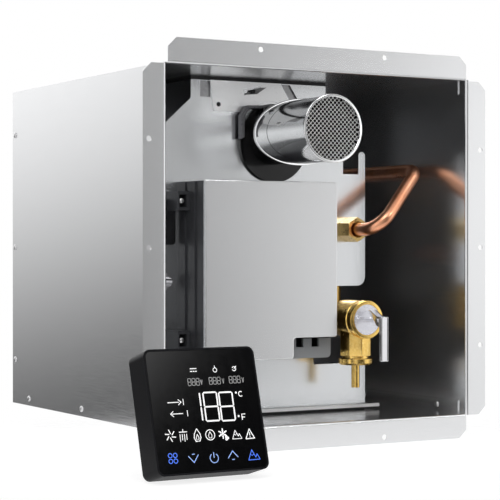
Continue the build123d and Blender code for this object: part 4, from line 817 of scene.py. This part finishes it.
# %% Relief valve spout
SPOUT_Y, SPOUT_R, SPOUT_LENGTH, SPOUT_TURN = 50, 15.6, 30, 22.5 + 12
RING = [(0, -34.5), (13.0, -34.5), (13.2, -37.0), (15.8, -37.0), (16.5, -37.8), (16.5, -41.8), (15.0, -43.5),
        (4.5, -43.5), (4.5, -36.0), (0, -36.0)]
spout = bmesh.ops.create_cone(
    bm, cap_ends=True, segments=8, radius1=SPOUT_R, radius2=SPOUT_R, depth=SPOUT_LENGTH,
)["verts"]
bmesh.ops.rotate(bm, verts=spout, matrix=Matrix.Rotation(radians(SPOUT_TURN), 3, "Z"))
bmesh.ops.translate(bm, verts=spout, vec=(VALVE_X, SPOUT_Y, VALVE_Z - 20))
round_off(bm, [e for e in bm.edges if all(v in spout for v in e.verts)], 0.5, 2)
turned(bm, RING, (VALVE_X, SPOUT_Y, VALVE_Z), (0, 0, 1), 64)
finish_piece(bm, "relief_body", brass, "brass", "relief_valve_body", sharp=25)

# %% [markdown]
# The test lever is a strip folded into a narrow channel. Two cheeks with slim cams stand behind a flat
# front strip, so the disc stays in sight beside it.

# %% Test lever
LEVER_FRONT, LEVER_T, LEVER_LEN, LEVER_HALF_W = 0.8, 1.2, 38.0, 4.0
CHEEK = [(0.8, -38.0), (3.2, -38.0), (4.4, -6.0), (9.5, -4.2), (11.6, -1.0), (21.0, 6.4), (22.8, 9.6),
         (20.0, 9.0), (9.0, 3.8), (0.8, 3.5)]
bm = bmesh.new()
for side in (-1, 1):
    outer = VALVE_X + side * LEVER_HALF_W
    face = bm.faces.new([bm.verts.new((outer, y, VALVE_Z + z)) for y, z in CHEEK])
    push(bm, [face], (-side * LEVER_T, 0, 0))
left, right = VALVE_X - LEVER_HALF_W, VALVE_X + LEVER_HALF_W
low, high = VALVE_Z - LEVER_LEN, VALVE_Z + 3.5
strip = [(left, low), (left, high), (right, high), (right, low)]
slab(bm, strip, LEVER_FRONT, LEVER_FRONT + LEVER_T, 1.2, 0.3)
finish_piece(bm, "lever_strip", bright_steel, "lever_steel", "relief_lever", body="test_lever", sharp=30)

# %% [markdown]
# ## Rivets
# Blind rivets hold the case's corners. Each has a low domed head outside and in, so half a sphere is
# pressed flat and set on the sheet.

# %% Rivets
CASE_HALF_W, SHEET = 163.0, 1.0
DOME = [(3.0, 0), (2.9, 0.5), (2.4, 0.95), (1.3, 1.25), (0, 1.3)]
rivet_places = [(338, z) for z in (-116, 0, 116)] + [(46 + 128 * n, -154) for n in range(3)]
bm = bmesh.new()
for side in (-1, 1):
    for y, z in rivet_places:
        outer = Vector((side * CASE_HALF_W, y, z))
        inner = outer - Vector((side * 2 * SHEET, 0, 0))
        for centre, out in ((outer, side), (inner, -side)):
            turned(bm, DOME, centre, (out, 0, 0), 20)
        turned(bm, [(1.5, -0.2), (1.5, 2.2)], outer, (-side, 0, 0), 12)
finish_piece(bm, "rivet_heads", rivet_metal, "rivet_aluminium", "case_rivets", sharp=50)

# %% [markdown]
# ## Plunger spring
# A small wire spring presses the gas valve's plunger down. Its wire is a ring carried round a helix, and its
# upper end is fixed.

# %% Plunger spring
spring_low, spring_high = box_mm("plunger_spring")
SPRING_WIRE, SPRING_TURNS, SPRING_STEPS = 0.8, 5, 18
SPRING_TOP, SPRING_BOTTOM, PLUNGER_TRAVEL = -73.8, -81.8, 2.0
middle = (spring_low + spring_high) / 2
spring_r = (spring_high.x - spring_low.x - SPRING_WIRE) / 2
wire_low, wire_high = SPRING_BOTTOM + SPRING_WIRE, SPRING_TOP - SPRING_WIRE
count = SPRING_TURNS * SPRING_STEPS
helix = []
for n in range(count + 1):
    angle = 2 * pi * n / SPRING_STEPS
    z = wire_low + (wire_high - wire_low) * n / count
    helix.append(Vector((middle.x + spring_r * cos(angle), middle.y + spring_r * sin(angle), z)))
bm = bmesh.new()
swept(bm, helix, SPRING_WIRE / 2, 8)
spring = finish_piece(bm, "wire_spring", spring_steel, "spring_steel", "plunger_spring", sharp=60)
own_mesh(spring)

# %% [markdown]
# ## Connections at the back
# Water and gas join the heater at three threaded ends outside the back wall. A thread this fine is a row
# of small ridges, which a spun saw-tooth profile gives.

# %% Threaded connections
THREAD_R, THREAD_PITCH, BACK_Y = 10.5, 1.814, 345.0
THREAD_ROOT_R = THREAD_R - 1.0
ridges = []
place = BACK_Y + 1.5
while place < BACK_Y + 16:
    ridges += [(THREAD_ROOT_R, place), (THREAD_R, place + THREAD_PITCH / 2)]
    place += THREAD_PITCH
for name, node, x, z, tail_r, tail_y, bore in (
    ("water_in_fitting", "water_inlet_fitting", -120, -31.5, 9.0, 310, 5.4),
    ("water_out_fitting", "water_outlet_fitting", WALL_X, WALL_Z, 9.0, 322, 5.4),
    ("gas_in_fitting", "gas_inlet_fitting", -120, -119.8, 8.0, 247.2, 4.0),
):
    tail = [(bore, tail_y), (tail_r, tail_y), (tail_r, 332), (10.0, 332), (10.0, 346.2)]
    end = [(THREAD_ROOT_R, place), (9.0, BACK_Y + 18), (bore, BACK_Y + 18)]
    bm = bmesh.new()
    turned(bm, tail + ridges + end, (x, 0, z), (0, 1, 0), 48, closed=True)
    nut(bm, (x, 344, z), (0, -1, 0), flats=24, length=12, bore_r=9.8)
    finish_piece(bm, name, brass, "brass", node, sharp=20)

# %% [markdown]
# ## Controller face
# The lit marks shine through the controller's black glass. They are thin flat shapes laid just in front of
# it, drawn in millimetres from its middle, and then leaned back with it. They are figures and plain signs.

# %% Plane of the controller's face
PAD_W, PAD_T = 100.0, 26.0
PAD_LEAN, PAD_TURN = radians(15.6), radians(0.4)
MARKS_LIFT = 0.03
pad_across = Vector((cos(PAD_TURN), sin(PAD_TURN), 0))
pad_back = Vector((-sin(PAD_TURN) * cos(PAD_LEAN), cos(PAD_TURN) * cos(PAD_LEAN), -sin(PAD_LEAN)))
pad_up = pad_across.cross(pad_back)
pad_corner = Vector((-245.8, -148.2, -183 + PAD_T * sin(PAD_LEAN)))
pad_centre = pad_corner + pad_across * PAD_W / 2 + pad_up * PAD_W / 2
pad_plane = Matrix.Translation(pad_centre - pad_back * MARKS_LIFT) @ Matrix(
    (pad_across, pad_up, -pad_back)
).transposed().to_4x4()
print("controller face centre", tuple(round(v, 1) for v in pad_centre))


# %% Lit finishes
def lit_finish(name, colour, glow_colour, strength, dark, light):
    """A matt finish with a glow, and a slight spread of tone like the others."""
    material, shader = finish(name, colour, 0.0, 0.4)
    shader.inputs["Emission Color"].default_value = (*glow_colour, 1)
    shader.inputs["Emission Strength"].default_value = strength
    tone(shader, grain(material, 300), dark, light)
    return material


WHITE = (1, 1, 1)
marks_white = lit_finish("marks_white", (0.9, 0.9, 0.9), WHITE, 0.55, (0.84, 0.84, 0.84), (0.92, 0.92, 0.92))
marks_dim = lit_finish("marks_dim", (0.35, 0.35, 0.35), WHITE, 0.12, (0.3, 0.3, 0.3), (0.4, 0.4, 0.4))
marks_blue = lit_finish(
    "marks_blue", (0.10, 0.22, 0.75), (0.03, 0.14, 0.95), 0.6, (0.08, 0.2, 0.7), (0.12, 0.26, 0.8),
)
marks_pale = lit_finish(
    "marks_pale_blue", (0.35, 0.5, 0.85), (0.25, 0.42, 0.9), 0.55, (0.32, 0.46, 0.8), (0.38, 0.54, 0.9),
)
print("lit finishes made")


# %% Shapes for the marks
def stroke(bm, start, end, width, pointed=False):
    """A straight flat stroke between two places, with square or pointed ends."""
    start, end = Vector((*start, 0)), Vector((*end, 0))
    run = end - start
    corners = bmesh.ops.create_grid(bm, x_segments=1, y_segments=1, size=0.5)["verts"]
    bmesh.ops.scale(bm, verts=corners, vec=(run.length, width, 1))
    lean = Matrix.Rotation(run.xy.angle_signed(Vector((1, 0))), 3, "Z")
    bmesh.ops.rotate(bm, verts=corners, matrix=lean)
    bmesh.ops.translate(bm, verts=corners, vec=(start + end) / 2)
    if pointed:
        round_off(bm, corners, width * 0.48, 1, "VERTICES")


def strokes(bm, places, width):
    """Strokes from each place to the next."""
    for start, end in zip(places, places[1:]):
        stroke(bm, start, end, width)
    for place in places[1:-1]:
        dot(bm, place, width / 2)


def dot(bm, place, radius):
    """A filled round spot."""
    spot = bmesh.ops.create_circle(bm, cap_ends=True, segments=16, radius=radius)["verts"]
    bmesh.ops.translate(bm, verts=spot, vec=(*place, 0))


def arc(bm, place, radius, width, start=0, sweep=360, steps=32):
    """A ring or part of one, in degrees from the right."""
    before = set(bm.verts)
    way = Vector((cos(radians(start)), sin(radians(start)), 0))
    edge = [bm.verts.new(way * r) for r in (radius - width, radius)]
    line = bm.edges.new(edge)
    bmesh.ops.spin(
        bm, geom=edge + [line], axis=(0, 0, 1), angle=radians(sweep), steps=steps, use_merge=sweep == 360,
    )
    bmesh.ops.translate(bm, verts=[v for v in bm.verts if v not in before], vec=(*place, 0))


def spoke(angle, length):
    """A step from the middle of a round sign, at an angle in radians."""
    return Vector((cos(angle), sin(angle))) * length


# %% Figures and finished marks
def digit(bm, centre, width, height, stroke_w, lit="abcdefg"):
    """A seven-part figure; its parts a to g go round from the top and then across."""
    centre = Vector(centre)
    half_w, half_h = width / 2 - stroke_w / 2, height / 2 - stroke_w / 2
    gap = stroke_w * 0.12
    ends = {
        "a": ((-half_w, half_h), (half_w, half_h)), "b": ((half_w, half_h), (half_w, 0)),
        "c": ((half_w, 0), (half_w, -half_h)), "d": ((-half_w, -half_h), (half_w, -half_h)),
        "e": ((-half_w, 0), (-half_w, -half_h)), "f": ((-half_w, half_h), (-half_w, 0)),
        "g": ((-half_w, 0), (half_w, 0)),
    }
    for part in lit:
        start, end = (Vector(place) for place in ends[part])
        run = (end - start).normalized() * gap
        stroke(bm, start + run + centre, end - run + centre, stroke_w, pointed=True)


def finish_marks(bm, name, material):
    """Lean the flat marks back with the controller and finish them."""
    bmesh.ops.transform(bm, matrix=pad_plane, verts=bm.verts)
    finish_piece(bm, name, material, "controller_glass", body="controller", sharp=180)


# %% Large figures
FIGURE_LINE, FIGURE_H = 1.25, 24.0
bm = bmesh.new()
digit(bm, (4.4, 2.4), 13.4, FIGURE_H, FIGURE_LINE)
digit(bm, (18.6, 1.9), 13.4, FIGURE_H, FIGURE_LINE)
digit(bm, (-9.7, 2.7), 11.0, FIGURE_H, FIGURE_LINE, "bc")
dot(bm, (28.4, 12.6), 0.9)
arc(bm, (32.6, 11.4), 2.3, 0.7, 50, 260)
dot(bm, (28.0, -6.4), 0.9)
strokes(bm, [(34.2, -5.0), (31.0, -5.0), (31.0, -9.6)], 0.8)
stroke(bm, (31.0, -7.4), (33.6, -7.4), 0.8)
finish_marks(bm, "marks_figures", marks_white)

# %% Direction signs, in place of words
ARROW_LINE = 0.65
bm = bmesh.new()
for x, z, way in ((-27.1, 7.2, 1), (-24.6, -1.9, -1)):
    stroke(bm, (x - 7, z), (x + 3, z), ARROW_LINE)
    tip = x + 5 if way > 0 else x - 8
    strokes(bm, [(tip - way * 2.6, z + 2.2), (tip, z), (tip - way * 2.6, z - 2.2)], ARROW_LINE)
    stroke(bm, (x + 7, z - 2.4), (x + 7, z + 2.4), ARROW_LINE)
finish_marks(bm, "marks_directions", marks_white)

# %% Small readings
READING_LINE = 0.5
bm = bmesh.new()
for x, z in ((-8.6, 22.7), (10.6, 22.9), (28.9, 23.1)):
    for n in range(3):
        digit(bm, (x + (n - 1) * 3.7, z), 3.2, 6.0, READING_LINE)
for x, z in ((-1.6, 22.2), (18.2, 22.4), (36.4, 22.6)):
    stroke(bm, (x - 0.8, z + 2.0), (x, z - 2.0), READING_LINE)
    stroke(bm, (x, z - 2.0), (x + 0.8, z + 2.0), READING_LINE)
finish_marks(bm, "marks_readings", marks_dim)

# %% Signs over the readings
SIGN_LINE, THIN_LINE = 0.7, 0.6
bm = bmesh.new()
stroke(bm, (-10.5, 33.4), (-4.5, 33.4), SIGN_LINE)
for left, right in ((-10.5, -8.7), (-8.2, -6.6), (-6.1, -4.5)):
    stroke(bm, (left, 31.2), (right, 31.2), SIGN_LINE)
arc(bm, (12.0, 31.6), 2.0, THIN_LINE)
stroke(bm, (12.0, 33.2), (12.0, 35.2), THIN_LINE)
arc(bm, (29.6, 32.0), 2.0, THIN_LINE, 200, 320)
stroke(bm, (29.6, 32.0), (31.8, 34.2), THIN_LINE)
finish_marks(bm, "marks_signs", marks_white)

# %% Fan and shower signs
bm = bmesh.new()
hub = Vector((-35.1, -18.7))
for n in range(6):
    angle = radians(60 * n + 15)
    stroke(bm, hub + spoke(angle, 1.4), hub + spoke(angle + 0.5, 4.9), 0.8)
stroke(bm, (-27.4, -16.4), (-20.2, -16.4), SIGN_LINE)
stroke(bm, (-23.8, -14.2), (-23.8, -16.0), SIGN_LINE)
for n in range(4):
    x = -26.7 + 1.95 * n
    stroke(bm, (x, -18.0), (x - 0.1, -24.0 + 1.2 * (n % 2)), THIN_LINE)

# %% Flame and drop signs
strokes(bm, [(-11.5, -14.4), (-14.0, -18.6), (-14.5, -21.5), (-13.2, -24.4), (-9.8, -24.4), (-8.5, -21.5),
             (-9.0, -18.6), (-11.5, -14.4)], SIGN_LINE)
strokes(bm, [(-11.5, -18.8), (-12.8, -21.8), (-12.1, -23.4)], 0.55)
strokes(bm, [(-11.5, -18.8), (-10.2, -21.8), (-10.9, -23.4)], 0.55)
arc(bm, (0.0, -20.0), 4.4, SIGN_LINE)
strokes(bm, [(0.0, -17.4), (-1.6, -20.4), (-1.1, -22.4), (1.1, -22.4), (1.6, -20.4), (0.0, -17.4)], 0.5)

# %% Frost and height signs
frost = Vector((11.4, -19.6))
for n in range(3):
    reach = spoke(radians(60 * n + 30), 4.0)
    stroke(bm, frost - reach, frost + reach, THIN_LINE)
for n in range(6):
    angle = radians(60 * n + 30)
    dot(bm, frost + spoke(angle, 2.2), 0.75)
    dot(bm, frost + spoke(angle, 3.6), 0.6)
for n in range(3):
    dot(bm, (14.2 + 1.3 * (n % 2), -22.4 - 0.9 * n), 1.1)
strokes(bm, [(19.6, -24.4), (28.4, -24.4)], 0.55)
strokes(bm, [(19.8, -24.2), (22.8, -17.6), (25.2, -22.4), (26.3, -20.4), (28.2, -24.2)], 0.55)
strokes(bm, [(21.6, -20.6), (22.8, -21.6), (23.9, -20.2)], 0.4)
strokes(bm, [(31.8, -25.0), (35.9, -17.2), (39.8, -24.7), (31.8, -25.0)], 0.8)
stroke(bm, (35.8, -19.9), (35.8, -22.4), 0.75)
dot(bm, (35.8, -23.6), 0.45)
finish_marks(bm, "marks_status", marks_white)

# %% Strong blue keys
KEY_LINE = 0.65
bm = bmesh.new()
for x in (-37.6, -33.2):
    for z in (-34.2, -38.6):
        arc(bm, (x, z), 2.0, KEY_LINE, steps=20)
strokes(bm, [(31.6, -42.0), (42.4, -41.8)], KEY_LINE)
strokes(bm, [(31.8, -41.8), (35.6, -34.0), (38.6, -40.0), (40.0, -37.4), (42.2, -41.6)], KEY_LINE)
strokes(bm, [(34.0, -37.4), (35.6, -38.6), (37.2, -37.2)], 0.5)
finish_marks(bm, "marks_keys", marks_blue)

# %% Pale blue keys
bm = bmesh.new()
strokes(bm, [(-21.8, -35.6), (-17.3, -40.8), (-12.8, -34.8)], KEY_LINE)
stroke(bm, (-18.4, -34.4), (-16.0, -34.2), KEY_LINE)
arc(bm, (0.9, -38.4), 4.0, KEY_LINE, 125, 290)
stroke(bm, (0.9, -33.8), (0.9, -38.2), KEY_LINE)
strokes(bm, [(13.4, -39.4), (18.0, -33.8), (22.6, -39.0)], KEY_LINE)
stroke(bm, (16.8, -40.6), (19.2, -40.5), KEY_LINE)
finish_marks(bm, "marks_pale_keys", marks_pale)

# %% [markdown]
# ## Last step
# The solids' box is printed at the end.

# %% Sizes
print("solids", [[round(v, 4) for v in c] for c in cad_box])
